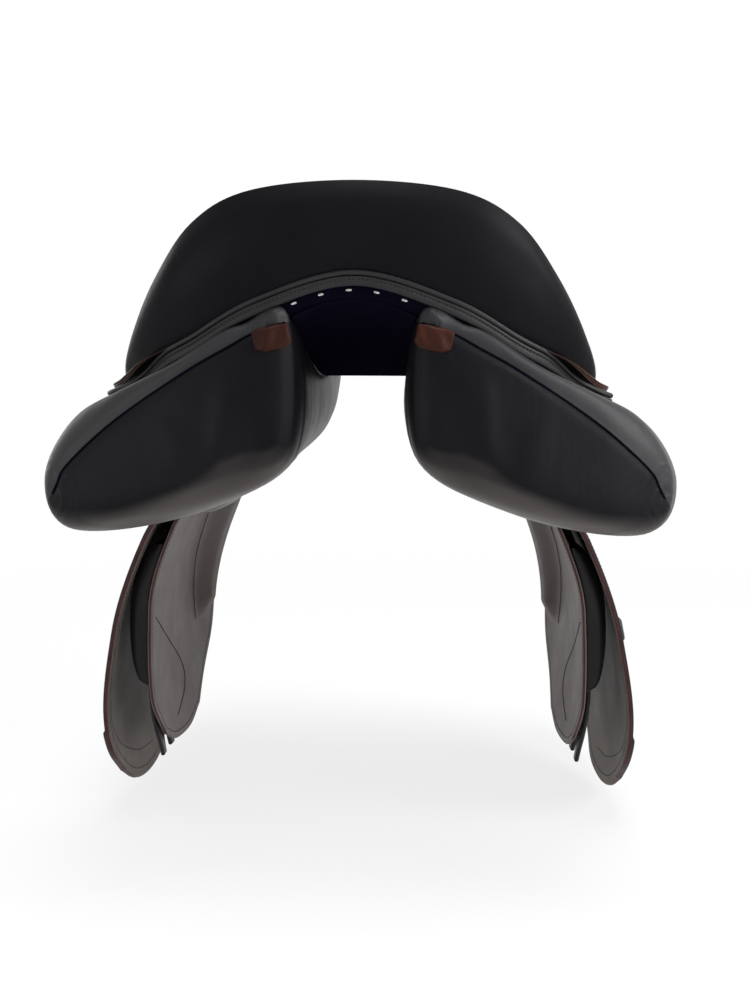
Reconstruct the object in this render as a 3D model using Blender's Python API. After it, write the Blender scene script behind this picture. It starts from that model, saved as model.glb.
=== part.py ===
"""Close contact saddle: tree, seat, skirts, flaps, sweat flaps, panels, girth straps and stirrup bars.

Lengths are in metres, with +X to the right seen from behind, +Y to the front and +Z up.
The origin is on the underside of the gullet lining, below the deepest point of the seat.
The pieces of the right side are modelled, and those of the left side are their mirror images.
"""

import math

import bmesh
import bpy
from mathutils import Vector

# Clearances
CLEAR = 0.0004
LAYER_GAP = 0.0006

# Seat outline and heights
SEAT_BACK = 0.238
SEAT_FRONT = 0.238
CANTLE_TOP = 0.150
CANTLE_HALF_WIDTH = 0.178
CANTLE_CORNER_Y = -0.150
SEAT_LOW = 0.046
POMMEL_TOP = 0.103
WELT_HEIGHT = 0.088
CANTLE_BULGE = 0.009
SEAT_CROWN_POWER = 2.2

# The straight line along each side on which the flap and the skirt bend
WAIST_HALF_WIDTH = 0.092
WAIST_HEIGHT = 0.004
WAIST_TAPER = -0.11
WAIST_RISE = 0.21
BEND_OUT = 0.006
BEND_DROP = 0.004

# Layers of the seat
COVER_THICKNESS = 0.0022
FOAM_DEEP = 0.024
FOAM_EDGE = 0.0065
WEB_THICKNESS = 0.0016
TREE_THICKNESS = 0.009
RAIL_THICKNESS = 0.0025
RIBS = 24
RIB_CROWDING = 0.65
SEAT_GAP = 0.0008
SEAT_RINGS = (0.0, 0.3, 0.55, 0.75, 0.9, 1.0)
EDGE_STEPS = (0.15, 0.42, 0.72, 1.0)
TREE_FIRST_RING = 2
WEB_LAST_RING = 3
SPINE_BACK = -0.060
SPINE_FRONT = 0.070

# Rear welt and strip
WELT_RADIUS = 0.0020
STRIP_HEIGHT = 0.0065
STRIP_THICKNESS = 0.0025
WELT_END = 4.6
STRIP_END_HEIGHT = 0.0040
SPREAD_START = 3.3
SPREAD_OUT = 0.015
SPREAD_DOWN = 0.0020

# Gullet
CHANNEL_HALF_WIDTH = 0.036
LINING_THICKNESS = 0.002
GULLET_REAR = 0.070

# Flaps and skirts
FLAP_THICKNESS = 0.0045
FLAP_DROP = 0.385
SWEAT_THICKNESS = 0.0032
SWEAT_DROP = 0.341
SKIRT_THICKNESS = 0.003
SKIRT_DEPTH = 0.062
FRONT_INBOARD = 0.014
CURL = 0.015

# Girth straps
BILLET_WIDTH = 0.025
BILLET_THICKNESS = 0.004
BILLET_STANDOFF = 0.0035
BILLET_TOP = -0.026
BILLET_TIP = -0.356
BILLET_PLACES = {"front": 0.084, "middle": 0.048, "rear": 0.014}
BILLET_ROUNDING = 0.025
BILLET_STEPS = 11
BILLET_TIP_SHARE = 0.35

# Stirrup bars
BAR_HEIGHT = 0.008
BAR_WIDTH = 0.005
BAR_DROP = 0.013
BAR_INSET = 0.0005
BAR_REAR = 0.064
BAR_FRONT = 0.148
BAR_BEND = 0.006
BAR_ARM = (0.25, 0.8)
PLATE_OVERHANG = 0.010
CATCH_LENGTH = 0.0165
CATCH_HEIGHT = 0.0076
CATCH_TIP_HEIGHT = 0.0046
CATCH_ANGLES = (12.0, 30.0, 50.0, 70.0, 90.0)

# Inner layers of the seat
SHALLOW_EDGE = 0.012
DEEP_EDGE = 0.045
RAIL_RING = 2
RAIL_RIBS = (12, 19)
RAIL_SHARE = (0.15, 0.60)

# Mesh cleaning
WELD = 0.000005
SHARP_ANGLE = 40.0

# Outer faces of the flap and the sweat flap: (drop, distance from the middle)
PROFILE_JOIN = -0.140
FLAP_PROFILE = [(0.0, 0.098), (0.020, 0.112), (0.080, 0.153), (0.135, 0.189), (0.220, 0.219),
                (0.314, 0.233), (0.395, 0.223)]
SWEAT_PROFILE = [(0.0, 0.083), (0.035, 0.103), (0.090, 0.139), (0.125, 0.165), (0.198, 0.187),
                 (0.280, 0.190), (0.360, 0.179)]

# Outlines of the flap as (y, z)
FLAP_TOP = [(-0.004, -0.006), (0.046, 0.0075), (0.052, -0.020), (0.105, -0.009), (0.155, 0.001),
            (0.161, 0.0315), (0.199, 0.039)]
FLAP_REAR = [(-0.004, -0.006), (-0.036, -0.044), (-0.057, -0.090), (-0.061, -0.145), (-0.053, -0.215),
             (-0.034, -0.285), (-0.010, -0.335), (0.024, -0.365)]
FLAP_FRONT = [(0.199, 0.039), (0.214, 0.010), (0.240, -0.030), (0.268, -0.075), (0.285, -0.130),
              (0.282, -0.195), (0.245, -0.280), (0.160, -0.360)]
FLAP_BOTTOM = [(0.024, -0.365), (0.054, 0.005 - FLAP_DROP), (0.090, -FLAP_DROP), (0.128, 0.006 - FLAP_DROP),
               (0.160, -0.360)]

# Outlines of the sweat flap as (y, z)
SWEAT_TOP = [(-0.012, -0.026), (0.060, -0.015), (0.140, -0.003), (0.202, 0.008)]
SWEAT_REAR = [(-0.012, -0.026), (-0.036, -0.064), (-0.048, -0.110), (-0.051, -0.165), (-0.045, -0.230),
              (-0.030, -0.283), (0.006, 0.016 - SWEAT_DROP)]
SWEAT_FRONT = [(0.202, 0.008), (0.226, -0.040), (0.247, -0.090), (0.255, -0.145), (0.246, -0.200),
               (0.208, -0.263), (0.128, 0.013 - SWEAT_DROP)]
SWEAT_BOTTOM = [(0.006, 0.016 - SWEAT_DROP), (0.040, 0.003 - SWEAT_DROP), (0.088, 0.001 - SWEAT_DROP),
                (0.128, 0.013 - SWEAT_DROP)]

# Outline of the skirt as (y, z)
SKIRT_TOP = [(0.014, 0.0043), (0.070, 0.016), (0.140, 0.030), (0.200, 0.0432)]
SKIRT_REAR = [(0.014, 0.0043), (0.006, -0.006), (0.002, -0.016)]
SKIRT_FRONT = [(0.200, 0.0432), (0.205, 0.036), (0.202, 0.026)]
SKIRT_BOTTOM = [(0.002, -0.016), (0.040, 0.025 - SKIRT_DEPTH), (0.090, 0.019 - SKIRT_DEPTH),
                (0.140, 0.032 - SKIRT_DEPTH), (0.180, -0.004), (0.202, 0.026)]

# Outlines of the blocks and of the panel's leg: top, bottom, rear and front, as (y, z)
KNEE_OUTLINE = ([(0.172, -0.060), (0.226, -0.066)], [(0.166, -0.240), (0.192, -0.246)],
                [(0.172, -0.060), (0.180, -0.150), (0.166, -0.240)],
                [(0.226, -0.066), (0.236, -0.140), (0.192, -0.246)])
THIGH_OUTLINE = ([(-0.048, -0.150), (-0.026, -0.146)], [(-0.034, -0.262), (-0.020, -0.268)],
                 [(-0.048, -0.150), (-0.046, -0.210), (-0.034, -0.262)],
                 [(-0.026, -0.146), (-0.022, -0.210), (-0.020, -0.268)])
LEG_OUTLINE = ([(0.176, -0.112), (0.236, -0.118)], [(0.160, -0.252), (0.186, -0.256)],
               [(0.176, -0.112), (0.176, -0.180), (0.160, -0.252)],
               [(0.236, -0.118), (0.228, -0.185), (0.186, -0.256)])
KNEE_DEPTH = 0.0117
THIGH_DEPTH = 0.015
LEG_DEPTH = 0.010
BLOCK_GAP = 0.0009
LEG_GAP = 0.0019

# Gullet roof and channel along the saddle
ROOF = [(-0.238, GULLET_REAR), (-0.200, 0.053), (-0.150, 0.032), (-0.100, 0.015), (-0.050, 0.004), (0.0, 0.0),
        (0.060, 0.003), (0.100, 0.010), (0.150, 0.024), (0.200, 0.040)]
CHANNEL = [(-0.238, CHANNEL_HALF_WIDTH + 0.010), (-0.190, CHANNEL_HALF_WIDTH + 0.008),
           (-0.100, CHANNEL_HALF_WIDTH + 0.003), (0.0, CHANNEL_HALF_WIDTH), (0.150, CHANNEL_HALF_WIDTH),
           (0.230, CHANNEL_HALF_WIDTH + 0.006)]
LINING_ARCH = [(-0.238, 0.014), (-0.150, 0.006), (0.0, 0.0), (0.200, 0.010)]
LINING_REAR = -0.228
LINING_FRONT = 0.205
LINING_STEPS = 14
LINING_GAP = 0.0014

# Panel outlines across the saddle: eight points round, from the inner top over the outside
PANEL_STATIONS = (-0.236, -0.229, -0.214, -0.195, -0.170, -0.140, -0.110, -0.080, -0.050, 0.0, 0.060, 0.120,
                  0.170, 0.205, 0.222)
PANEL_POINTS = 24
PANEL_PLACES = (-0.236, -0.228, -0.212, -0.190, -0.150, -0.115, -0.085, -0.055, 0.0, 0.100, 0.180, 0.225)
PANEL_X = (
    (0.054, 0.047, 0.046, 0.045, 0.043, 0.041, 0.039, 0.038, 0.036, 0.036, 0.037, 0.046),
    (0.066, 0.080, 0.088, 0.092, 0.090, 0.086, 0.075, 0.064, 0.053, 0.050, 0.048, 0.051),
    (0.080, 0.112, 0.145, 0.152, 0.158, 0.142, 0.118, 0.098, 0.082, 0.074, 0.064, 0.058),
    (0.096, 0.135, 0.185, 0.209, 0.217, 0.192, 0.146, 0.116, 0.103, 0.098, 0.087, 0.074),
    (0.102, 0.148, 0.205, 0.237, 0.244, 0.220, 0.168, 0.136, 0.127, 0.120, 0.108, 0.090),
    (0.097, 0.141, 0.192, 0.216, 0.222, 0.197, 0.152, 0.128, 0.118, 0.110, 0.100, 0.084),
    (0.076, 0.090, 0.110, 0.122, 0.122, 0.112, 0.100, 0.088, 0.080, 0.074, 0.068, 0.062),
    (0.053, 0.046, 0.044, 0.043, 0.042, 0.041, 0.040, 0.039, 0.038, 0.038, 0.039, 0.048),
)
PANEL_Z = (
    (0.050, 0.056, 0.055, 0.047, 0.031, 0.019, 0.010, 0.003, -0.002, 0.006, 0.028, 0.020),
    (0.046, 0.0448, 0.038, 0.033, 0.021, 0.010, 0.003, -0.001, -0.003, 0.005, 0.026, 0.018),
    (0.038, 0.0290, 0.012, 0.0030, -0.0090, -0.009, -0.014, -0.019, -0.016, -0.010, 0.008, 0.006),
    (0.018, 0.008, -0.009, -0.019, -0.027, -0.034, -0.049, -0.062, -0.052, -0.048, -0.040, -0.038),
    (-0.015, -0.037, -0.057, -0.068, -0.073, -0.082, -0.092, -0.101, -0.102, -0.099, -0.097, -0.082),
    (-0.045, -0.076, -0.098, -0.108, -0.110, -0.110, -0.110, -0.112, -0.111, -0.108, -0.104, -0.088),
    (-0.041, -0.063, -0.085, -0.095, -0.098, -0.094, -0.088, -0.084, -0.080, -0.076, -0.068, -0.058),
    (-0.030, -0.042, -0.048, -0.048, -0.046, -0.046, -0.046, -0.046, -0.046, -0.040, -0.026, -0.018),
)

# Webs of the girth straps, as stretches along the saddle
WEB_SPANS = {"front": (0.070, 0.098), "rear": (0.006, 0.062)}
WEB_STRAP = 0.0018
WEB_START = WAIST_HALF_WIDTH - 0.0265
WEB_TOPS = {"front": (0.0176, 0.0242), "rear": (0.0070, 0.0135)}
WEB_TURN = (WAIST_HALF_WIDTH - 0.0245, 0.024)
WEB_BENDS = ((-0.024, 0.019), (-0.010, 0.0123))
WEB_GAP = 0.0004

# Inner plate of the stirrup bar, from the bar
PLATE_INSET = 0.014
PLATE_RISE = 0.0128

# Gullet plate: right half of the arch as (x, z), with its place along the saddle
ARCH_ROUTE = [(0.0, 0.0673), (0.026, 0.0628), (0.046, 0.0488), (0.060, 0.032), (0.070, 0.020)]
ARCH_LEG = [0.004, -0.016, -0.036]
ARCH_STANDOFF = 0.0045
ARCH_REAR = 0.178
ARCH_FRONT = 0.204
ARCH_THICKNESS = 0.0028
ARCH_STEPS = 14

# Distance of the pocket from the sweat flap, past the arch's end
POCKET_STANDOFF = 0.0078
POCKET_THICKNESS = 0.0020

# Point pocket that holds the end of the gullet plate
POCKET_OUTLINE = ([(0.165, -0.014), (0.217, -0.014)], [(0.167, -0.058), (0.215, -0.058)],
                  [(0.165, -0.014), (0.167, -0.058)], [(0.217, -0.014), (0.215, -0.058)])

# Skirt tail: places along the edge and its width
TAIL_PLACES = (3.7, 8.2)
TAIL_WIDE = 0.010
TAIL_SLOPE = 0.15
TAIL_NARROW = 0.003
TAIL_THICKNESS = 0.0034

# Folded tab at the panel's inner top corner
TAB_CENTRE = (0.066, -0.2406, 0.034)
TAB_SIZE = (0.026, 0.008, 0.013)
TAB_TILT = 25.0

# Front dee and its chape
DEE_PLACE = (0.0665, 0.2205, 0.036)
DEE_HALF = 0.011
DEE_DROP = 0.017
DEE_WIRE = 0.0015
CHAPE_THICKNESS = 0.0016
CHAPE_WIDTH = 0.015

# Keeper loop on the flap
KEEPER_PLACE = (0.020, -0.232)
KEEPER_LENGTH = 0.056
KEEPER_WIDTH = 0.013
KEEPER_THICKNESS = 0.003
KEEPER_RISE = 0.005

# Colours, roughness and metallic values
FINISHES = {
    "seat_leather": ((0.012, 0.012, 0.013), 0.32, 0.0),
    "skirt_leather": ((0.014, 0.014, 0.015), 0.35, 0.0),
    "flap_leather": ((0.013, 0.013, 0.014), 0.38, 0.0),
    "sweat_leather": ((0.035, 0.032, 0.030), 0.55, 0.0),
    "panel_leather": ((0.016, 0.016, 0.017), 0.45, 0.0),
    "block_leather": ((0.018, 0.018, 0.019), 0.50, 0.0),
    "billet_leather": ((0.015, 0.014, 0.014), 0.45, 0.0),
    "lining_leather": ((0.010, 0.010, 0.010), 0.60, 0.0),
    "edge_grey": ((0.180, 0.180, 0.175), 0.60, 0.0),
    "tab_leather": ((0.120, 0.050, 0.030), 0.55, 0.0),
    "foam": ((0.700, 0.660, 0.550), 0.90, 0.0),
    "web": ((0.550, 0.530, 0.480), 0.85, 0.0),
    "laminated_wood": ((0.420, 0.270, 0.140), 0.60, 0.0),
    "steel": ((0.550, 0.550, 0.560), 0.30, 1.0),
}


def along(table, value):
    """Smooth value from a table of (place, value) pairs, without overshoot."""
    if value <= table[0][0]:
        return table[0][1]
    if value >= table[-1][0]:
        return table[-1][1]
    index = max(i for i in range(len(table) - 1) if table[i][0] <= value)
    slopes = [(b[1] - a[1]) / (b[0] - a[0]) for a, b in zip(table, table[1:])]

    def tangent(i):
        if i == 0:
            return slopes[0]
        if i == len(table) - 1:
            return slopes[-1]
        before, after = slopes[i - 1], slopes[i]
        if before * after <= 0.0:
            return 0.0
        return 2.0 * before * after / (before + after)

    span = table[index + 1][0] - table[index][0]
    t = (value - table[index][0]) / span
    low, high = table[index][1], table[index + 1][1]
    rise = high - low
    start, stop = tangent(index) * span, tangent(index + 1) * span
    return low + t * (start + t * (3.0 * rise - 2.0 * start - stop + t * (start + stop - 2.0 * rise)))


def ease(value):
    """Smooth step from 0 to 1."""
    t = min(max(value, 0.0), 1.0)
    return t * t * (3.0 - 2.0 * t)


def onSpline(points, place, closed=False):
    """Point of a smooth curve through the points, at a place counted in points."""
    count = len(points)
    if closed:
        base = math.floor(place)
        picks = [Vector(points[(base + k) % count]) for k in (-1, 0, 1, 2)]
    else:
        base = min(int(place), count - 2)
        picks = [Vector(points[min(max(base + k, 0), count - 1)]) for k in (-1, 0, 1, 2)]
        if base == 0:
            picks[0] = picks[1] * 2.0 - picks[2]
        if base == count - 2:
            picks[3] = picks[2] * 2.0 - picks[1]
    t = place - base
    a, b, c, d = picks
    linear = (c - a) * 0.5
    square = a - b * 2.5 + c * 2.0 - d * 0.5
    cube = (d - a) * 0.5 + (b - c) * 1.5
    return b + linear * t + square * t * t + cube * t * t * t


def onCrest(points, place):
    """Point of a smooth curve that starts and ends on the middle plane and carries on as its mirror image."""
    def flipped(point):
        return (-point[0], point[1], point[2])

    return onSpline([flipped(points[1]), *points, flipped(points[-2])], place + 1.0)


def samples(points, count, closed=False):
    """Evenly spaced places on the curve through the points."""
    last = len(points) if closed else len(points) - 1
    steps = range(count) if closed else range(count + 1)
    return [onSpline(points, last * i / count, closed) for i in steps]


def edgeLine(y):
    """Lower edge of the seat along the waist and twist."""
    return Vector((WAIST_HALF_WIDTH + WAIST_TAPER * y, y, WAIST_HEIGHT + WAIST_RISE * y))


def bendLine(y):
    """Line on which the flap and the skirt bend."""
    return edgeLine(y) + Vector((BEND_OUT, 0.0, -BEND_DROP))


# Crest of the cantle, then the edge of the seat to the front of the pommel
RIM = [
    (0.0, -SEAT_BACK, CANTLE_TOP),
    (0.421 * CANTLE_HALF_WIDTH, 0.006 - SEAT_BACK, CANTLE_TOP - 0.007),
    (0.664 * CANTLE_HALF_WIDTH, 0.020 - SEAT_BACK, CANTLE_TOP - 0.029),
    (0.834 * CANTLE_HALF_WIDTH, 0.038 - SEAT_BACK, CANTLE_TOP - 0.068),
    (0.955 * CANTLE_HALF_WIDTH, CANTLE_CORNER_Y - 0.026, 0.042),
    (CANTLE_HALF_WIDTH, CANTLE_CORNER_Y, 0.016),
    (0.921 * CANTLE_HALF_WIDTH, CANTLE_CORNER_Y + 0.042, 0.011),
    (0.753 * CANTLE_HALF_WIDTH, CANTLE_CORNER_Y + 0.088, 0.010),
    (edgeLine(-0.020)[0] + 0.012, -0.020, 0.011),
    (edgeLine(0.014)[0] - 0.003, 0.014, edgeLine(0.014)[2] + 0.009),
    (edgeLine(0.060)[0] - 0.004, 0.060, edgeLine(0.060)[2] + 0.010),
    (edgeLine(0.110)[0] - 0.004, 0.110, edgeLine(0.110)[2] + 0.011),
    (edgeLine(0.160)[0] - 0.004, 0.160, edgeLine(0.160)[2] + 0.012),
    (edgeLine(0.202)[0] - 0.004, 0.202, edgeLine(0.202)[2] + 0.015),
    (0.044, SEAT_FRONT - 0.008, POMMEL_TOP - 0.019),
    (0.0, SEAT_FRONT, POMMEL_TOP - 0.007),
]

# Lower edge of the seat cover, point for point below the rim
EDGE = [
    (0.0, 0.005 - SEAT_BACK, WELT_HEIGHT),
    (0.404 * CANTLE_HALF_WIDTH, 0.009 - SEAT_BACK, WELT_HEIGHT - 0.020),
    (0.680 * CANTLE_HALF_WIDTH, 0.025 - SEAT_BACK, WELT_HEIGHT - 0.0475),
    (0.831 * CANTLE_HALF_WIDTH, 0.043 - SEAT_BACK, WELT_HEIGHT - 0.0615),
    (0.955 * CANTLE_HALF_WIDTH, CANTLE_CORNER_Y - 0.020, 0.010),
    (1.017 * CANTLE_HALF_WIDTH, CANTLE_CORNER_Y + 0.003, 0.002),
    (0.944 * CANTLE_HALF_WIDTH, CANTLE_CORNER_Y + 0.045, 0.001),
    (0.775 * CANTLE_HALF_WIDTH, CANTLE_CORNER_Y + 0.090, 0.0),
    (edgeLine(-0.018)[0] + 0.016, -0.018, 0.001),
    edgeLine(0.016),
    edgeLine(0.060),
    edgeLine(0.110),
    edgeLine(0.160),
    edgeLine(0.202),
    (0.048, SEAT_FRONT - 0.002, 0.056),
    (0.0, SEAT_FRONT + 0.005, 0.062),
]

CENTRE_LINE = [
    (-SEAT_BACK, CANTLE_TOP),
    (0.006 - SEAT_BACK, CANTLE_TOP - 0.001),
    (0.020 - SEAT_BACK, CANTLE_TOP - 0.008),
    (0.038 - SEAT_BACK, CANTLE_TOP - 0.0205),
    (0.058 - SEAT_BACK, CANTLE_TOP - 0.036),
    (0.088 - SEAT_BACK, CANTLE_TOP - 0.060),
    (-0.110, SEAT_LOW + 0.016),
    (-0.060, SEAT_LOW + 0.004),
    (-0.010, SEAT_LOW),
    (0.050, SEAT_LOW + 0.004),
    (0.100, SEAT_LOW + 0.016),
    (0.150, POMMEL_TOP - 0.022),
    (0.200, POMMEL_TOP - 0.003),
    (0.222, POMMEL_TOP),
    (SEAT_FRONT, POMMEL_TOP - 0.007),
]

BULGE = [(0.0, CANTLE_BULGE), (2.0, 0.9 * CANTLE_BULGE), (4.0, 0.4 * CANTLE_BULGE), (5.0, 0.0020),
         (13.0, 0.0020), (15.0, 0.0060)]


def rimPlaceAt(y):
    """Place along the rim at which it crosses y."""
    low, high = 0.0, len(RIM) - 1.0
    for _ in range(40):
        middle = 0.5 * (low + high)
        if onCrest(RIM, middle)[1] < y:
            low = middle
        else:
            high = middle
    return 0.5 * (low + high)


def seatHeight(x, y):
    """Height of the seat's surface."""
    rim = onCrest(RIM, rimPlaceAt(y))
    centre = along(CENTRE_LINE, y)
    share = min(abs(x) / max(rim[0], 0.004), 1.0)
    return centre + (rim[2] - centre) * share ** SEAT_CROWN_POWER


def ribPlace(rib):
    """Place of a rib along the rim, closer together at the cantle."""
    share = rib / RIBS
    return (len(RIM) - 1.0) * share * (RIB_CROWDING + (1.0 - RIB_CROWDING) * share)


def seatRow(rib, keep=1.0):
    """Outer points and inward directions of one rib, from the spine over the rim to the lower edge.

    Keep is the share of the drop from the rim to the lower edge that the row covers.
    """
    place = ribPlace(rib)
    rim, edge = onCrest(RIM, place), onCrest(EDGE, place)
    if rib in (0, RIBS):
        rim[0] = edge[0] = 0.0
    start = Vector((0.0, SPINE_BACK + (SPINE_FRONT - SPINE_BACK) * rib / RIBS, 0.0))
    outward = Vector((rim[0] - start[0], rim[1] - start[1], 0.0)).normalized()
    row = []
    for ring in SEAT_RINGS:
        point = start.lerp(rim, ring)
        point[2] = rim[2] if ring == 1.0 else seatHeight(point[0], point[1])
        row.append((point, inwardAt(outward, 0.5 * ease((ring - 0.7) / 0.3))))
    for step in EDGE_STEPS:
        share = step * keep
        bulge = along(BULGE, place) * math.sin(math.pi * share ** 0.8)
        row.append((rim.lerp(edge, share) + outward * bulge, inwardAt(outward, 0.5 + 0.5 * share)))
    return row


def inwardAt(outward, turn):
    """Direction that points straight down at turn 0 and straight inward at turn 1."""
    angle = 0.5 * math.pi * turn
    return Vector((-outward[0] * math.sin(angle), -outward[1] * math.sin(angle), -math.cos(angle)))


def innerKeep(rib):
    """Share of the edge that the inner layers cover: nearly all at the cantle, little at the waist."""
    place = ribPlace(rib)
    height = onCrest(RIM, place)[2] - onCrest(EDGE, place)[2]
    return min(max((height - SHALLOW_EDGE) / DEEP_EDGE, 0.1), 0.93)


def foamDepth(column):
    """Depth of the foam's lower face below the seat's surface."""
    ring = SEAT_RINGS[column] if column < len(SEAT_RINGS) else 1.0
    return FOAM_DEEP + (FOAM_EDGE - FOAM_DEEP) * ease(ring)


def seatLayer(top, bottom, first, last, inner):
    """Upper and lower point grids of one layer of the seat, whose depths are functions of the column."""
    upper, lower = [], []
    for rib in range(RIBS + 1):
        row = seatRow(rib, innerKeep(rib) if inner else 1.0)[first:last + 1]
        upper.append([point + inward * top(first + k) for k, (point, inward) in enumerate(row)])
        lower.append([point + inward * bottom(first + k) for k, (point, inward) in enumerate(row)])
    return upper, lower


def addMaterial(obj, finish):
    """Give the object its own material from a finish: colour, roughness and metallic value."""
    colour, roughness, metallic = FINISHES[finish]
    material = bpy.data.materials.new(obj.name + "_" + finish)
    material.use_nodes = True
    shader = material.node_tree.nodes["Principled BSDF"]
    shader.inputs["Base Color"].default_value = (*colour, 1.0)
    shader.inputs["Roughness"].default_value = roughness
    shader.inputs["Metallic"].default_value = metallic
    obj.data.materials.append(material)


def addObject(name, mesh, finish):
    """Clean a closed bmesh, turn its faces outwards and link it as an object."""
    bmesh.ops.remove_doubles(mesh, verts=mesh.verts, dist=WELD)
    bmesh.ops.recalc_face_normals(mesh, faces=mesh.faces)
    data = bpy.data.meshes.new(name)
    mesh.to_mesh(data)
    mesh.free()
    data.shade_smooth()
    data.set_sharp_from_angle(angle=math.radians(SHARP_ANGLE))
    obj = bpy.data.objects.new(name, data)
    bpy.context.collection.objects.link(obj)
    addMaterial(obj, finish)
    return obj


def mirrored(obj, finish):
    """Left-hand copy of a right-hand piece, whose name ends in _r."""
    mesh = bmesh.new()
    mesh.from_mesh(obj.data)
    for vertex in mesh.verts:
        vertex.co[0] = -vertex.co[0]
    bmesh.ops.reverse_faces(mesh, faces=mesh.faces)
    return addObject(obj.name[:-1] + "l", mesh, finish)


def gridMesh(upper, lower, whole):
    """Closed shell between two point grids; whole adds its mirror image across the middle plane."""
    mesh = bmesh.new()
    for side in ((1.0, -1.0) if whole else (1.0,)):
        grids = []
        for grid in (upper, lower):
            grids.append([[mesh.verts.new((side * p[0], p[1], p[2])) for p in row] for row in grid])
        over, under = grids
        rows, columns = len(over), len(over[0])
        for i in range(rows - 1):
            for k in range(columns - 1):
                mesh.faces.new((over[i][k], over[i + 1][k], over[i + 1][k + 1], over[i][k + 1]))
                mesh.faces.new((under[i][k], under[i][k + 1], under[i + 1][k + 1], under[i + 1][k]))
        border = [(i, 0, i + 1, 0) for i in range(rows - 1)]
        border += [(i, columns - 1, i + 1, columns - 1) for i in range(rows - 1)]
        border += [(0, k, 0, k + 1) for k in range(columns - 1)]
        border += [(rows - 1, k, rows - 1, k + 1) for k in range(columns - 1)]
        for i, k, m, n in border:
            ends = (over[i][k], over[m][n])
            if whole and all(abs(end.co[0]) < WELD for end in ends):
                continue
            mesh.faces.new((over[i][k], over[m][n], under[m][n], under[i][k]))
    if whole:
        bmesh.ops.remove_doubles(mesh, verts=mesh.verts, dist=WELD)
    return mesh


def ringsMesh(rings, closed=False):
    """Closed body through rings of points, capped at both ends unless it closes on itself."""
    mesh = bmesh.new()
    loops = [[mesh.verts.new(p) for p in ring] for ring in rings]
    pairs = list(zip(loops, loops[1:]))
    if closed:
        pairs.append((loops[-1], loops[0]))
    for one, two in pairs:
        for k in range(len(one)):
            n = (k + 1) % len(one)
            mesh.faces.new((one[k], one[n], two[n], two[k]))
    if not closed:
        mesh.faces.new(loops[0])
        mesh.faces.new(loops[-1])
    return mesh


def sweep(path, width, height, side, closed=False, round_sides=0):
    """Rings of a bar along a path: width lies along side, height square to side and the path."""
    rings = []
    count = len(path)
    for i, point in enumerate(path):
        before = path[i - 1] if closed or i > 0 else point
        after = path[(i + 1) % count] if closed or i < count - 1 else point
        heading = (Vector(after) - Vector(before)).normalized()
        across = (Vector(side) - heading * heading.dot(Vector(side))).normalized()
        rise = heading.cross(across)
        wide = width(i / (count - 1)) if callable(width) else width
        high = height(i / (count - 1)) if callable(height) else height
        if round_sides:
            angles = [2.0 * math.pi * k / round_sides for k in range(round_sides)]
            corners = [(math.cos(a) * wide, math.sin(a) * high) for a in angles]
        else:
            corners = [(0.5 * wide, 0.5 * high), (-0.5 * wide, 0.5 * high),
                       (-0.5 * wide, -0.5 * high), (0.5 * wide, -0.5 * high)]
        rings.append([Vector(point) + across * a + rise * b for a, b in corners])
    return rings


def pair(name, mesh, finish):
    """Right-hand piece and its left-hand mirror image."""
    right = addObject(name + "_r", mesh, finish)
    return right, mirrored(right, finish)


def lowering(y, z):
    """Height z with the stretch between the bend line and the joining height squeezed to start at 0."""
    top = bendLine(y)[2]
    if z <= PROFILE_JOIN:
        return z, 0.0
    share = (z - PROFILE_JOIN) / (top - PROFILE_JOIN)
    return PROFILE_JOIN * (1.0 - share), share


def inboardAt(y, z):
    """How far the front and the lower front corner of the flaps stand in towards the horse."""
    curl = CURL * ease((y - 0.020) / 0.180) * ease((-0.200 - z) / 0.110)
    return FRONT_INBOARD * ease((y - 0.150) / 0.110) + curl


def flapX(y, z):
    """Outer face of the flap."""
    level, share = lowering(y, z)
    base = along(FLAP_PROFILE, -level)
    inboard = inboardAt(y, z)
    shift = (bendLine(y)[0] - FLAP_PROFILE[0][1]) * share - inboard * (1.0 - share)
    return base + shift


def sweatX(y, z):
    """Outer face of the sweat flap."""
    level, share = lowering(y, z)
    base = along(SWEAT_PROFILE, -level)
    inboard = inboardAt(y, z)
    shift = (bendLine(y)[0] - FLAP_PROFILE[0][1]) * share - inboard * (1.0 - share)
    return base + shift


def faceNormal(surface, y, z):
    """Outward normal of a surface that gives x from y and z."""
    step = 0.002
    slopeY = (surface(y + step, z) - surface(y - step, z)) / (2.0 * step)
    slopeZ = (surface(y, z + step) - surface(y, z - step)) / (2.0 * step)
    return Vector((1.0, -slopeY, -slopeZ)).normalized()


def patch(top, bottom, rear, front, columns, rows):
    """Grid of (y, z) places inside four boundary curves, blended from all four."""
    grid = []
    corners = (onSpline(top, 0.0), onSpline(top, len(top) - 1.0),
               onSpline(bottom, 0.0), onSpline(bottom, len(bottom) - 1.0))
    for i in range(columns + 1):
        u = i / columns
        row = []
        for k in range(rows + 1):
            v = k / rows
            edges = (onSpline(top, u * (len(top) - 1)) * (1.0 - v)
                     + onSpline(bottom, u * (len(bottom) - 1)) * v
                     + onSpline(rear, v * (len(rear) - 1)) * (1.0 - u)
                     + onSpline(front, v * (len(front) - 1)) * u)
            blend = (corners[0] * ((1.0 - u) * (1.0 - v)) + corners[1] * (u * (1.0 - v))
                     + corners[2] * ((1.0 - u) * v) + corners[3] * (u * v))
            row.append(edges - blend)
        grid.append(row)
    return grid


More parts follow.
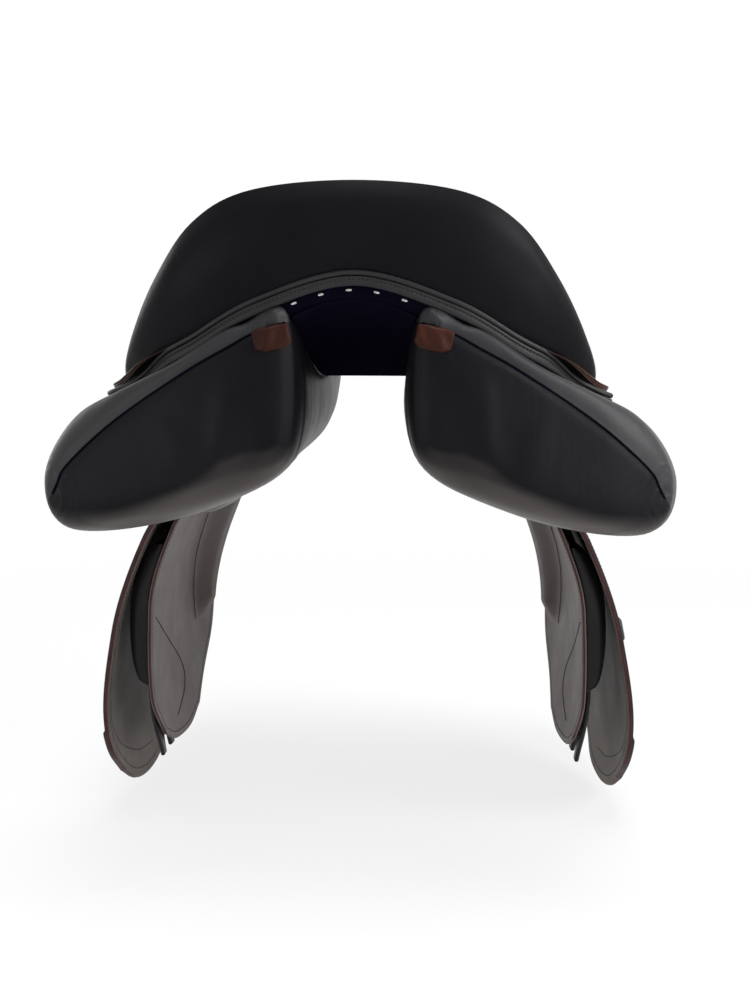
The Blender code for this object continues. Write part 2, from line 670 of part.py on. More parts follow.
def sheetOn(surface, places, near, far):
    """Grids at two distances from a surface; the distances may be functions of the grid's shares."""
    rows, columns = len(places) - 1, len(places[0]) - 1
    upper, lower = [], []
    for i, line in enumerate(places):
        over, under = [], []
        for k, place in enumerate(line):
            y, z = place[0], place[1]
            base = Vector((surface(y, z), y, z))
            normal = faceNormal(surface, y, z)
            u, v = i / rows, k / columns
            over.append(base + normal * (far(u, v) if callable(far) else far))
            under.append(base + normal * (near(u, v) if callable(near) else near))
        upper.append(over)
        lower.append(under)
    return upper, lower


def flat(points):
    """Points with a zero third value, so that curves in a plane use the same spline."""
    return [(a, b, 0.0) for a, b in points]


def addSeat():
    """Cover, foam, straining web, tree and spring rails, all layers of one rib grid."""
    last = len(SEAT_RINGS) + len(EDGE_STEPS) - 1
    foamTop = COVER_THICKNESS + SEAT_GAP
    webGap = WEB_THICKNESS + 2.0 * CLEAR

    upper, lower = seatLayer(lambda c: 0.0, lambda c: COVER_THICKNESS, 0, last, False)
    addObject("seat_cover", gridMesh(upper, lower, True), "seat_leather")

    upper, lower = seatLayer(lambda c: foamTop, foamDepth, 0, last, True)
    addObject("seat_foam", gridMesh(upper, lower, True), "foam")

    upper, lower = seatLayer(lambda c: foamDepth(c) + CLEAR,
                             lambda c: foamDepth(c) + CLEAR + WEB_THICKNESS, 0, WEB_LAST_RING, True)
    addObject("seat_web", gridMesh(upper, lower, True), "web")

    treeTop = lambda c: foamDepth(c) + webGap
    treeBottom = lambda c: foamDepth(c) + webGap + TREE_THICKNESS
    upper, lower = seatLayer(treeTop, treeBottom, TREE_FIRST_RING, last, True)
    addObject("tree_frame", gridMesh(upper, lower, True), "laminated_wood")

    railTop = lambda c: treeBottom(c) + SEAT_GAP
    railBottom = lambda c: railTop(c) + RAIL_THICKNESS
    upper, lower = seatLayer(railTop, railBottom, RAIL_RING, RAIL_RING + 1, True)
    first, final = RAIL_RIBS
    over = [railStrip(row) for row in upper[first:final]]
    under = [railStrip(row) for row in lower[first:final]]
    pair("spring_rail", gridMesh(over, under, False), "steel")


def railStrip(row):
    """Narrow part of a grid row that a spring rail covers."""
    low, high = RAIL_SHARE
    return [row[0].lerp(row[1], low), row[0].lerp(row[1], high)]


def rearEdge(place):
    """Lower edge of the seat cover at the back and its outward direction."""
    edge, rim = onCrest(EDGE, place), onCrest(RIM, place)
    if place == 0.0:
        edge[0] = rim[0] = 0.0
    ahead, behind = onCrest(EDGE, place + 0.05), onCrest(EDGE, max(place - 0.05, 0.0))
    run = ahead - behind
    return edge, Vector((run[1], -run[0], 0.0)).normalized() if place > 0.0 else Vector((0.0, -1.0, 0.0))


def trimEdge(place):
    """Seat's edge at the back, with its ends spread out over the panels, and the outward direction."""
    edge, outward = rearEdge(place)
    share = ease((place - SPREAD_START) / (WELT_END - SPREAD_START))
    return edge + outward * (SPREAD_OUT * share) - Vector((0.0, 0.0, SPREAD_DOWN * share)), outward


def addRearTrim():
    """Welt roll and stitched strip below the cantle's leather."""
    places = [ribPlace(rib) for rib in range(RIBS, -1, -1) if ribPlace(rib) <= WELT_END]
    path = []
    for place in places:
        edge, outward = trimEdge(place)
        drop = tailRoom(place) + WELT_RADIUS + 2.0 * CLEAR
        path.append(edge - outward * WELT_RADIUS * 0.5 - Vector((0.0, 0.0, drop)))
    path += [Vector((-p[0], p[1], p[2])) for p in reversed(path[:-1])]
    rings = sweep(path, WELT_RADIUS, WELT_RADIUS, (0.0, 0.0, 1.0), round_sides=8)
    addObject("cantle_welt", ringsMesh(rings), "edge_grey")

    upper, lower = [], []
    for place in reversed(places):
        edge, outward = trimEdge(place)
        top = tailRoom(place) + 2.0 * WELT_RADIUS + 4.0 * CLEAR
        over = [edge - Vector((0.0, 0.0, top + stripHeight(place) * share)) for share in (0.0, 0.5, 1.0)]
        over[1] += outward * 0.0005
        upper.append(over)
        lower.append([point - outward * STRIP_THICKNESS for point in over])
    addObject("rear_strip", gridMesh(upper, lower, True), "edge_grey")


def stripHeight(place):
    """Height of the stitched strip, which narrows towards its ends."""
    return STRIP_HEIGHT + (STRIP_END_HEIGHT - STRIP_HEIGHT) * ease((place - 2.5) / 1.5)


def tailRoom(place):
    """Room for the end of the skirt's tail between the seat's edge and the welt."""
    return (TAIL_THICKNESS + 4.0 * LAYER_GAP) * ease((place - TAIL_PLACES[0] + 0.6) / 0.5)


def roofHeight(y):
    """Underside of the gullet lining on the middle plane."""
    return along(ROOF, y)


def channelHalf(y):
    """Half of the channel's width between the panels."""
    return along(CHANNEL, y)


def addLining():
    """Leather strip that closes the channel from above, between the panels."""
    upper, lower = [], []
    for i in range(LINING_STEPS + 1):
        y = LINING_REAR + (LINING_FRONT - LINING_REAR) * i / LINING_STEPS
        over, under = [], []
        for share in (0.0, 0.4, 0.75, 1.0):
            x = share * (channelHalf(y) - LINING_GAP)
            z = roofHeight(y) - along(LINING_ARCH, y) * share ** 2
            under.append(Vector((x, y, z)))
            over.append(Vector((x, y, z + LINING_THICKNESS)))
        upper.append(over)
        lower.append(under)
    addObject("gullet_lining", gridMesh(upper, lower, True), "lining_leather")


def panelRing(y):
    """Outline of the panel across the saddle at one place along it."""
    controls = []
    for across, height in zip(PANEL_X, PANEL_Z):
        xs = [(place, value) for place, value in zip(PANEL_PLACES, across)]
        zs = [(place, value) for place, value in zip(PANEL_PLACES, height)]
        controls.append((along(xs, y), y, along(zs, y)))
    return samples(controls, PANEL_POINTS, closed=True)


def addPanels():
    """Stuffed panel of each side: deep wing at the back, slim at the waist."""
    rings = [panelRing(y) for y in PANEL_STATIONS]
    pair("panel", ringsMesh(rings), "panel_leather")


def addFlaps():
    """Flap, sweat flap, skirt and what is sewn to them."""
    places = patch(flat(FLAP_TOP), flat(FLAP_BOTTOM), flat(FLAP_REAR), flat(FLAP_FRONT), 12, 12)
    upper, lower = sheetOn(flapX, places, -FLAP_THICKNESS, 0.0)
    pair("flap", gridMesh(upper, lower, False), "flap_leather")

    places = patch(flat(SWEAT_TOP), flat(SWEAT_BOTTOM), flat(SWEAT_REAR), flat(SWEAT_FRONT), 10, 12)
    upper, lower = sheetOn(sweatX, places, -SWEAT_THICKNESS, 0.0)
    pair("sweat_flap", gridMesh(upper, lower, False), "sweat_leather")

    places = patch(flat(SKIRT_TOP), flat(SKIRT_BOTTOM), flat(SKIRT_REAR), flat(SKIRT_FRONT), 10, 4)
    upper, lower = sheetOn(flapX, places, LAYER_GAP, LAYER_GAP + SKIRT_THICKNESS)
    pair("skirt", gridMesh(upper, lower, False), "skirt_leather")


def crowned(edge, height):
    """Thickness of a stuffed piece: thin at its edge and full in the middle."""
    def thickness(u, v):
        across = max(0.0, 4.0 * u * (1.0 - u)) * max(0.0, 4.0 * v * (1.0 - v))
        return edge + (height - edge) * across ** 0.4
    return thickness


def addBlocks():
    """Knee and thigh blocks on the outer face of the sweat flap, and the panel's leg on its inner face."""
    for name, outline, depth in (("knee_block", KNEE_OUTLINE, KNEE_DEPTH),
                                 ("thigh_block", THIGH_OUTLINE, THIGH_DEPTH)):
        places = patch(*[flat(side) for side in outline], 5, 8)
        far = crowned(0.004, depth)
        upper, lower = sheetOn(sweatX, places, BLOCK_GAP, far)
        pair(name, gridMesh(upper, lower, False), "block_leather")
    places = patch(*[flat(side) for side in LEG_OUTLINE], 5, 8)
    far = crowned(0.005, LEG_DEPTH)
    inner = -SWEAT_THICKNESS - LEG_GAP
    upper, lower = sheetOn(sweatX, places, lambda u, v: inner - far(u, v), inner)
    pair("panel_leg", gridMesh(upper, lower, False), "panel_leather")


def addBillets():
    """Girth straps that hang over the sweat flap, and the webs that hold them."""
    for name, y in BILLET_PLACES.items():
        half = 0.5 * BILLET_WIDTH
        upper, lower = [], []
        for share in (-1.0, -0.5, 0.0, 0.5, 1.0):
            over, under = [], []
            crest = BILLET_TOP - BILLET_ROUNDING + math.sqrt(BILLET_ROUNDING ** 2 - (share * half) ** 2)
            for k in range(BILLET_STEPS + 1):
                z = crest + (BILLET_TIP - crest) * k / BILLET_STEPS
                narrow = BILLET_TIP_SHARE if k == BILLET_STEPS else 1.0
                across = share * half * narrow
                base = Vector((sweatX(y, z), y + across, z))
                normal = faceNormal(sweatX, y, z)
                under.append(base + normal * BILLET_STANDOFF)
                over.append(base + normal * (BILLET_STANDOFF + BILLET_THICKNESS))
            upper.append(over)
            lower.append(under)
        pair("billet_" + name, gridMesh(upper, lower, False), "billet_leather")
    for name, span in WEB_SPANS.items():
        upper, lower = [], []
        for y, top in zip(span, WEB_TOPS[name]):
            route = webRoute(y, top)
            heading = [(route[min(k + 1, len(route) - 1)] - route[max(k - 1, 0)]).normalized()
                       for k in range(len(route))]
            over, under = [], []
            for point, way in zip(route, heading):
                normal = Vector((-way[2], 0.0, way[0]))
                spot = Vector((point[0], y, point[2]))
                over.append(spot + normal * (0.5 * WEB_STRAP))
                under.append(spot - normal * (0.5 * WEB_STRAP))
            upper.append(over)
            lower.append(under)
        pair("billet_web_" + name, gridMesh(upper, lower, False), "web")


def webRoute(y, top):
    """Route of a billet's web from below the tree, over the panel's shoulder, down to the billet."""
    hang = BILLET_TOP + WEB_GAP
    normal = faceNormal(sweatX, y, hang)
    end = Vector((sweatX(y, hang), y, hang)) + normal * (BILLET_STANDOFF + 0.5 * BILLET_THICKNESS)
    turn = Vector((WEB_TURN[0], y, end[2] + WEB_TURN[1]))
    bends = [end + Vector((across, 0.0, up)) for across, up in WEB_BENDS]
    return samples([Vector((WEB_START, y, top)), turn, *bends, end], 8)


def addBars():
    """Stirrup bar of each side: inner plate, front arm and the open bar, with its thumb catch."""
    def barPoint(y):
        return bendLine(y) + Vector((-BAR_INSET - 0.5 * BAR_WIDTH, 0.0, -BAR_DROP))

    def platePoint(y):
        return barPoint(y) + Vector((-PLATE_INSET, 0.0, PLATE_RISE))

    middle = 0.5 * (BAR_REAR + BAR_FRONT)
    bend = BAR_FRONT - BAR_BEND
    arm = [platePoint(BAR_FRONT).lerp(barPoint(BAR_FRONT), share) for share in BAR_ARM]
    path = [platePoint(BAR_REAR - PLATE_OVERHANG), platePoint(middle), platePoint(bend), *arm,
            barPoint(bend), barPoint(middle), barPoint(BAR_REAR)]
    rings = sweep(path, BAR_HEIGHT, BAR_WIDTH, (0.0, 0.0, 1.0))
    pair("stirrup_bar", ringsMesh(rings), "steel")

    hinge = barPoint(BAR_REAR - LAYER_GAP - 0.5 * CATCH_HEIGHT)
    tip = barPoint(BAR_REAR - CATCH_LENGTH)
    heading = (hinge - tip).normalized()
    turns = [math.radians(angle) for angle in CATCH_ANGLES]
    path = [hinge + heading * (0.5 * CATCH_HEIGHT * math.cos(turn)) for turn in turns] + [tip]
    heights = [CATCH_HEIGHT * math.sin(turn) for turn in turns] + [CATCH_TIP_HEIGHT]
    rings = sweep(path, lambda s: heights[round(s * (len(path) - 1))], 0.9 * BAR_WIDTH, (0.0, 0.0, 1.0))
    pair("bar_catch", ringsMesh(rings), "steel")


def addArch():
    """Steel gullet plate that holds the tree's front open, and the pockets for its ends."""
    columns = []
    for y in (ARCH_REAR, ARCH_FRONT):
        controls = [(x, y, z) for x, z in ARCH_ROUTE]
        controls += [(sweatX(y, z) + ARCH_STANDOFF, y, z) for z in ARCH_LEG]
        route = samples(controls, ARCH_STEPS)
        over, under = offsetRoute(route, 0.5 * ARCH_THICKNESS), offsetRoute(route, -0.5 * ARCH_THICKNESS)
        over[0][0] = under[0][0] = 0.0
        columns.append((over, under))
    upper = [[column[0][i] for column in columns] for i in range(ARCH_STEPS + 1)]
    lower = [[column[1][i] for column in columns] for i in range(ARCH_STEPS + 1)]
    addObject("gullet_plate", gridMesh(upper, lower, True), "steel")


def addTails():
    """Rear end of each skirt, which lies between the seat's edge and the panel."""
    first, last = TAIL_PLACES
    upper, lower = [], []
    steps = 10
    for i in range(steps + 1):
        place = first + (last - first) * i / steps
        edge, outward = rearEdge(place)
        wide = TAIL_WIDE + (TAIL_NARROW - TAIL_WIDE) * ease((place - 5.0) / 2.5)
        level = edge - Vector((0.0, 0.0, LAYER_GAP))
        over = [level - outward * 0.006, level + outward * wide - Vector((0.0, 0.0, TAIL_SLOPE * wide))]
        upper.append(over)
        lower.append([point - Vector((0.0, 0.0, TAIL_THICKNESS)) for point in over])
    pair("skirt_tail", gridMesh(upper, lower, False), "skirt_leather")


def addTabs():
    """Folded leather tab at the inner top corner of each panel."""
    mesh = bmesh.new()
    bmesh.ops.create_cube(mesh, size=1.0)
    angle = math.radians(TAB_TILT)
    for vertex in mesh.verts:
        x, y, z = (vertex.co[k] * TAB_SIZE[k] for k in range(3))
        vertex.co = Vector((TAB_CENTRE[0] + x * math.cos(angle) + z * math.sin(angle),
                            TAB_CENTRE[1] + y,
                            TAB_CENTRE[2] - x * math.sin(angle) + z * math.cos(angle)))
    bmesh.ops.bevel(mesh, geom=mesh.edges[:], offset=0.0025, segments=2, affect="EDGES")
    pair("rear_tab", mesh, "tab_leather")


def addDees():
    """Small dee ring in front of each skirt, in a folded leather chape."""
    x, y, z = DEE_PLACE
    corner = 0.35 * DEE_HALF
    controls = [(x, y - DEE_HALF, z), (x, y, z), (x, y + DEE_HALF, z),
                (x + 0.002, y + DEE_HALF, z - 0.5 * DEE_DROP), (x + 0.004, y + corner, z - DEE_DROP),
                (x + 0.004, y - corner, z - DEE_DROP), (x + 0.002, y - DEE_HALF, z - 0.5 * DEE_DROP)]
    path = samples(controls, 18, closed=True)
    rings = sweep(path, DEE_WIRE, DEE_WIRE, (1.0, 0.0, 0.2), closed=True, round_sides=6)
    pair("front_dee", ringsMesh(rings, closed=True), "steel")

    reach = DEE_WIRE + LAYER_GAP + 0.5 * CHAPE_THICKNESS
    route = [(x - reach, y, z + 0.013)]
    for k in range(7):
        angle = math.pi * k / 6
        route.append((x - reach * math.cos(angle), y, z - reach * math.sin(angle)))
    route.append((x + reach, y, z + 0.009))
    upper = [[Vector((p[0], y + side, p[2])) for side in (-0.5 * CHAPE_WIDTH, 0.5 * CHAPE_WIDTH)]
             for p in offsetRoute(route, 0.5 * CHAPE_THICKNESS)]
    lower = [[Vector((p[0], y + side, p[2])) for side in (-0.5 * CHAPE_WIDTH, 0.5 * CHAPE_WIDTH)]
             for p in offsetRoute(route, -0.5 * CHAPE_THICKNESS)]
    pair("dee_chape", gridMesh(upper, lower, False), "skirt_leather")


def offsetRoute(route, distance):
    """Route in the xz plane moved sideways by a distance."""
    moved = []
    for i, point in enumerate(route):
        ahead, behind = Vector(route[min(i + 1, len(route) - 1)]), Vector(route[max(i - 1, 0)])
        way = (ahead - behind).normalized()
        moved.append(Vector(point) + Vector((-way[2], 0.0, way[0])) * distance)
    return moved


def addKeepers():
    """Keeper loop on the flap's outer face, through which the stirrup strap passes."""
    y, z = KEEPER_PLACE
    upper, lower = [], []
    steps = 10
    for i in range(steps + 1):
        share = i / steps
        place = y + KEEPER_LENGTH * share
        rise = LAYER_GAP + KEEPER_RISE * math.sin(math.pi * share) ** 0.5 if 0 < i < steps else LAYER_GAP
        over, under = [], []
        for side in (-0.5, 0.5):
            height = z + side * KEEPER_WIDTH
            base = Vector((flapX(place, height), place, height))
            normal = faceNormal(flapX, place, height)
            under.append(base + normal * rise)
            over.append(base + normal * (rise + KEEPER_THICKNESS))
        upper.append(over)
        lower.append(under)
    pair("flap_keeper", gridMesh(upper, lower, False), "flap_leather")


def addPockets():
    """Pocket on the sweat flap for each end of the gullet plate."""
    places = patch(*[flat(side) for side in POCKET_OUTLINE], 5, 3)

    def near(u, v):
        open_middle = 0.1 < u < 0.9 and v < 0.9
        return POCKET_STANDOFF if open_middle else LAYER_GAP

    upper, lower = sheetOn(sweatX, places, near, lambda u, v: near(u, v) + POCKET_THICKNESS)
    pair("point_pocket", gridMesh(upper, lower, False), "block_leather")


def main():
    for obj in list(bpy.data.objects):
        bpy.data.objects.remove(obj, do_unlink=True)
    addSeat()
    addRearTrim()
    addLining()
    addPanels()
    addFlaps()
    addBlocks()
    addBillets()
    addBars()
    addArch()
    addPockets()
    addTails()
    addTabs()
    addDees()
    addKeepers()


main()
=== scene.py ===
# Looks of a black leather close contact saddle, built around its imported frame.
# Lengths are in metres, in the frame's own axes: +X right seen from behind, +Y front, +Z up.
# Pieces of the right side are modelled and the left ones are their mirror images.

import math

import bmesh
import bpy
from mathutils import Matrix, Vector
from mathutils.bvhtree import BVHTree
from mathutils.kdtree import KDTree


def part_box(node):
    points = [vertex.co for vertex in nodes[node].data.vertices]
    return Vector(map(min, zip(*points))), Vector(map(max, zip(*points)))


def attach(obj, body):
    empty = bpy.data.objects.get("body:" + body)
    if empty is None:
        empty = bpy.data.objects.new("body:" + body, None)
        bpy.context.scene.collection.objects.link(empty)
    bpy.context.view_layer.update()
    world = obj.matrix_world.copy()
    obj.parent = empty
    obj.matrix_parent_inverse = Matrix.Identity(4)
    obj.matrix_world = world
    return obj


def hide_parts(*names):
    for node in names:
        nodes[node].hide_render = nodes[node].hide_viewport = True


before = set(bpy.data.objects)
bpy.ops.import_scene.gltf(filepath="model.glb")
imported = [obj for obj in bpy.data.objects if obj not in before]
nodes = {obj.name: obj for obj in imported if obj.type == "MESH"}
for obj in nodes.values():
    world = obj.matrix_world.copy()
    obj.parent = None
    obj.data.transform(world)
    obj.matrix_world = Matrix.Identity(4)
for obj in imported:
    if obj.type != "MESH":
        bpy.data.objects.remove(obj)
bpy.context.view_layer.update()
print("frame loaded")

# Camera at the photograph's place
cameraView = {
    "place": (0.0645, -1.3478, 0.0717),
    "yaw": 2.50,
    "pitch": 7.65,
    "roll": 0.15,
    "lens": 55.8,
}

# Studio: floor, lamps and surroundings
studio = {
    "floorDrop": 0.010,
    "floorColour": 0.82,
    "floorGlow": 0.80,
    "floorInner": 0.35,
    "floorRadius": 1.5,
    "floorHalf": 9.0,
    "worldStrength": 0.24,
    "aim": (0.0, 0.0, -0.08),
    "lamps": {
        "above": {"place": (0.15, -0.25, 1.9), "size": 1.5, "power": 54.0},
        "right": {"place": (2.0, -0.7, 0.95), "size": 1.3, "power": 38.0},
        "left": {"place": (-1.9, 1.2, 0.4), "size": 1.0, "power": 8.0},
        "lowRight": {"place": (1.2, -1.1, -0.22), "size": 0.8, "power": 9.0},
        "lowLeft": {"place": (-1.2, -1.1, -0.22), "size": 0.8, "power": 5.0},
    },
}


# Sets a node's inputs, by name or number, to values or to linked sockets.
def feed(node, inputs):
    for key, value in inputs.items():
        if isinstance(value, bpy.types.NodeSocket):
            node.id_data.links.new(value, node.inputs[key])
        else:
            node.inputs[key].default_value = value
    return node


# Function that adds shader nodes of a kind, with their inputs and settings, to a node tree.
def adder(tree):
    def add(kind, inputs, **values):
        node = tree.nodes.new("ShaderNode" + kind)
        for key, value in values.items():
            setattr(node, key, value)
        return feed(node, inputs)

    return add


# Material with its shader, the function that adds nodes to it, and the object's coordinates.
def newMaterial(name):
    material = bpy.data.materials.new(name)
    material.use_nodes = True
    tree = material.node_tree
    add = adder(tree)
    return material, tree.nodes["Principled BSDF"], add, add("TexCoord", {}).outputs["Object"]


# Result of a sum on values or sockets.
def maths(add, operation, *values):
    return add("Math", dict(enumerate(values)), operation=operation).outputs[0]


# Noise over the object, stretched along an axis if asked.
def noiseOf(add, source, scale, detail=3.0, roughness=0.55, stretch=None):
    if stretch:
        source = add("Mapping", {"Vector": source, "Scale": stretch}).outputs["Vector"]
    inputs = {"Vector": source, "Scale": scale, "Detail": detail, "Roughness": roughness}
    return add("TexNoise", inputs).outputs["Fac"]


# Colour that goes from low to high with a factor.
def rampOf(add, fac, low, high, start=0.3, end=0.7):
    ramp = add("ValToRGB", {"Fac": fac})
    for element, place, colour in zip(ramp.color_ramp.elements, (start, end), (low, high)):
        element.position = place
        element.color = (*colour, 1.0)
    return ramp.outputs["Color"]


# Value that goes from low to high with a factor.
def rangeOf(add, fac, low, high, start=0.25, end=0.75):
    inputs = {"Value": fac, "From Min": start, "From Max": end, "To Min": low, "To Max": high}
    return add("MapRange", inputs).outputs["Result"]


# Adds bumps to those that the shader has: each layer is (height, distance, strength).
def bumps(add, shader, layers):
    for height, distance, strength in layers:
        inputs = {"Height": height, "Distance": distance, "Strength": strength}
        if shader.inputs["Normal"].links:
            inputs["Normal"] = shader.inputs["Normal"].links[0].from_socket
        feed(shader, {"Normal": add("Bump", inputs).outputs["Normal"]})


# Leather with pores, soft unevenness, worn tone and optional creases along one direction.
def leather(name, dark, pale, rough=(0.36, 0.48), grain=900.0, grainDepth=0.00010, softDepth=0.0012,
            crease=None, gloss=0.14, softScale=17.0):
    material, shader, add, coordinates = newMaterial(name)
    cells = add("TexVoronoi", {"Vector": coordinates, "Scale": grain}, feature="DISTANCE_TO_EDGE")
    cap = maths(add, "MINIMUM", cells.outputs["Distance"], 0.22)
    layers = [(noiseOf(add, coordinates, softScale, 2.0, 0.4), softDepth, 0.6)]
    if crease:
        lines = noiseOf(add, coordinates, crease["scale"], 3.0, 0.5, crease["stretch"])
        layers.append((lines, crease["depth"], 0.8))
    layers += [(noiseOf(add, coordinates, 420.0, 2.0), 0.00012, 0.5), (cap, grainDepth * 4.0, 0.5)]
    bumps(add, shader, layers)
    feed(shader, {"Base Color": rampOf(add, noiseOf(add, coordinates, 9.0, 5.0, 0.62), dark, pale),
                  "Roughness": rangeOf(add, noiseOf(add, coordinates, 34.0, 4.0, 0.6), *rough),
                  "Specular IOR Level": gloss})
    return material


# Soft wrinkles in rings round the panels' outer tips.
def addTipWrinkles(material, tip, spacing, reach, depth):
    add = adder(material.node_tree)
    axes = add("SeparateXYZ", {0: add("TexCoord", {}).outputs["Object"]}).outputs
    outward = maths(add, "ABSOLUTE", axes["X"])
    place = add("CombineXYZ", {"X": outward, "Y": axes["Y"], "Z": axes["Z"]}).outputs[0]
    away = add("VectorMath", {0: place, 1: tip}, operation="DISTANCE").outputs["Value"]
    bend = maths(add, "MULTIPLY_ADD", noiseOf(add, place, 30.0, 2.0), 4.0 * spacing, away)
    wave = maths(add, "SINE", maths(add, "MULTIPLY", bend, 2.0 * math.pi / spacing))
    height = maths(add, "MULTIPLY", wave, rangeOf(add, away, 1.0, 0.0, 0.3 * reach, reach))
    bumps(add, material.node_tree.nodes["Principled BSDF"], [(height, depth, 1.0)])


# Panel tones by the panel's own attributes: a paler satin base above the seam that is painted sheen from the
# light overhead, and a paler greyer tone on faces that look down, partly worn underside and partly painted
# light from the floor.
def addPanelTones(material, tones):
    add = adder(material.node_tree)
    shader = material.node_tree.nodes["Principled BSDF"]
    for attribute, (colour, gloss, low, high) in tones.items():
        fac = add("Attribute", {}, attribute_name=attribute).outputs["Fac"]
        share = rangeOf(add, fac, 0.0, 1.0, low, high)
        for name, kind, value in (("Base Color", "RGBA", (*colour, 1.0)),
                                  ("Specular IOR Level", "FLOAT", gloss)):
            target = shader.inputs[name]
            before = target.links[0].from_socket if target.links else target.default_value
            mix = add("Mix", {"Factor": share, "A": before, "B": value}, data_type=kind)
            feed(shader, {name: mix.outputs["Result"]})


# Painted leather edge with a faintly uneven tone and fine bumps.
def edgeStain(name, dark, pale):
    material, shader, add, coordinates = newMaterial(name)
    bumps(add, shader, [(noiseOf(add, coordinates, 700.0, 2.0, 0.5), 0.0001, 0.6)])
    feed(shader, {"Base Color": rampOf(add, noiseOf(add, coordinates, 60.0, 4.0, 0.6), dark, pale),
                  "Roughness": 0.45, "Specular IOR Level": 0.2})
    return material


# Steel with fine drawn lines.
def metal(name, colour, rough, stretch):
    material, shader, add, coordinates = newMaterial(name)
    lines = noiseOf(add, coordinates, 600.0, 3.0, 0.6, stretch)
    paler = tuple(min(1.0, 1.15 * c) for c in colour)
    bumps(add, shader, [(lines, 0.00004, 0.5)])
    feed(shader, {"Base Color": rampOf(add, noiseOf(add, coordinates, 40.0, 3.0), colour, paler),
                  "Roughness": rangeOf(add, lines, rough * 0.8, rough * 1.3), "Metallic": 1.0})
    return material


# Woven tape or cloth: two crossed waves.
def woven(name, dark, pale, scale):
    material, shader, add, coordinates = newMaterial(name)
    inputs = {"Vector": coordinates, "Scale": scale, "Distortion": 0.6}
    waves = [add("TexWave", inputs, bands_direction=direction).outputs["Fac"] for direction in ("Y", "Z")]
    cross = maths(add, "MULTIPLY", *waves)
    bumps(add, shader, [(cross, 0.0003, 0.7)])
    feed(shader, {"Base Color": rampOf(add, cross, dark, pale, 0.1, 0.8), "Roughness": 0.85})
    return material


# Laminated wood with grain along the saddle.
def grainedWood(name, dark, pale):
    material, shader, add, coordinates = newMaterial(name)
    grain = noiseOf(add, coordinates, 60.0, 5.0, 0.6, (1.0, 0.08, 1.0))
    bumps(add, shader, [(grain, 0.0002, 0.5)])
    feed(shader, {"Base Color": rampOf(add, grain, dark, pale), "Roughness": 0.55})
    return material


leathers = {
    "seat": leather("seat_leather", (0.0026, 0.0024, 0.0040), (0.0048, 0.0045, 0.0062), (0.36, 0.46),
                    1100.0, 0.00006, 0.0016, None, 0.065),
    "skirt": leather("skirt_leather", (0.0040, 0.0036, 0.0048), (0.0090, 0.0080, 0.0088), (0.36, 0.48),
                     1000.0, 0.00007, 0.0010),
    "flap": leather("flap_leather", (0.0036, 0.0034, 0.0044), (0.0080, 0.0074, 0.0080), (0.36, 0.50),
                    1000.0, 0.00007, 0.0012),
    "panel": leather("panel_leather", (0.0032, 0.0030, 0.0046), (0.0068, 0.0064, 0.0080), (0.36, 0.46),
                     1000.0, 0.00007, 0.0045, {"scale": 24.0, "stretch": (1.6, 1.0, 0.3), "depth": 0.0010},
                     0.075, 10.0),
    "lining": leather("grey_lining", (0.086, 0.072, 0.064), (0.132, 0.112, 0.100), (0.50, 0.64),
                      800.0, 0.00008, 0.0012, None, 0.2),
    "sweat": leather("sweat_leather", (0.086, 0.072, 0.068), (0.130, 0.110, 0.104), (0.48, 0.62),
                     800.0, 0.00008, 0.0012,
                     {"scale": 20.0, "stretch": (1.0, 2.2, 0.5), "depth": 0.0008}, 0.2),
    "dark": leather("dark_leather", (0.0022, 0.0018, 0.0052), (0.0040, 0.0034, 0.0085), (0.46, 0.58),
                    900.0, 0.00007, 0.0008, None, 0.025),
    "channel": leather("channel_leather", (0.0022, 0.0018, 0.0052), (0.0042, 0.0036, 0.0090), (0.60, 0.70),
                       900.0, 0.00007, 0.0008, None, 0.0),
    "strap": leather("strap_leather", (0.0240, 0.0215, 0.0210), (0.0520, 0.0470, 0.0450), (0.42, 0.56),
                     900.0, 0.00007, 0.0006, None, 0.2),
    "tab": leather("tab_leather", (0.014, 0.0036, 0.0020), (0.046, 0.0125, 0.0066), (0.42, 0.54),
                   520.0, 0.00014, 0.0014, None, 0.10, 60.0),
    # Same black leather as the seat, with a paler base that is painted sheen on the welt and strip
    "edging": leather("edging_painted_sheen", (0.0075, 0.0072, 0.0086), (0.0170, 0.0165, 0.0180), (0.40, 0.52),
                      900.0, 0.00008, 0.0003, None, 0.26),
}
stains = {
    "burgundy": edgeStain("burgundy_edge", (0.022, 0.0045, 0.0060), (0.060, 0.0150, 0.0180)),
    "black": edgeStain("black_edge", (0.005, 0.005, 0.006), (0.012, 0.011, 0.011)),
    "tan": edgeStain("tan_edge", (0.034, 0.014, 0.010), (0.100, 0.048, 0.032)),
}
threads = {
    "black": woven("black_thread", (0.003, 0.003, 0.004), (0.010, 0.010, 0.011), 900.0),
    "grey": woven("grey_thread", (0.060, 0.058, 0.054), (0.150, 0.144, 0.132), 900.0),
    "white": woven("white_thread", (0.50, 0.49, 0.46), (0.85, 0.84, 0.80), 900.0),
}
solids = {
    "steel": metal("steel", (0.50, 0.50, 0.51), 0.32, (1.0, 0.05, 1.0)),
    "web": woven("web", (0.30, 0.28, 0.24), (0.60, 0.57, 0.50), 420.0),
    "wood": grainedWood("laminated_wood", (0.20, 0.11, 0.05), (0.42, 0.27, 0.14)),
    "foam": woven("foam", (0.55, 0.50, 0.40), (0.75, 0.70, 0.60), 260.0),
}
addPanelTones(leathers["panel"], {
    # Paler greyer tone on faces that look down: partly worn underside, partly painted light from the floor
    # below
    "below": ((0.066, 0.058, 0.055), 0.20, 0.22, 0.95),
    # Painted sheen: paler satin base on the band above the seam, which is the same leather as the rest
    "sheenAboveSeam": ((0.0215, 0.0208, 0.0228), 0.20, -0.0008, 0.0008),
})
addTipWrinkles(leathers["panel"], (0.247, -0.214, -0.083), 0.0085, 0.046, 0.00040)
print("materials made")


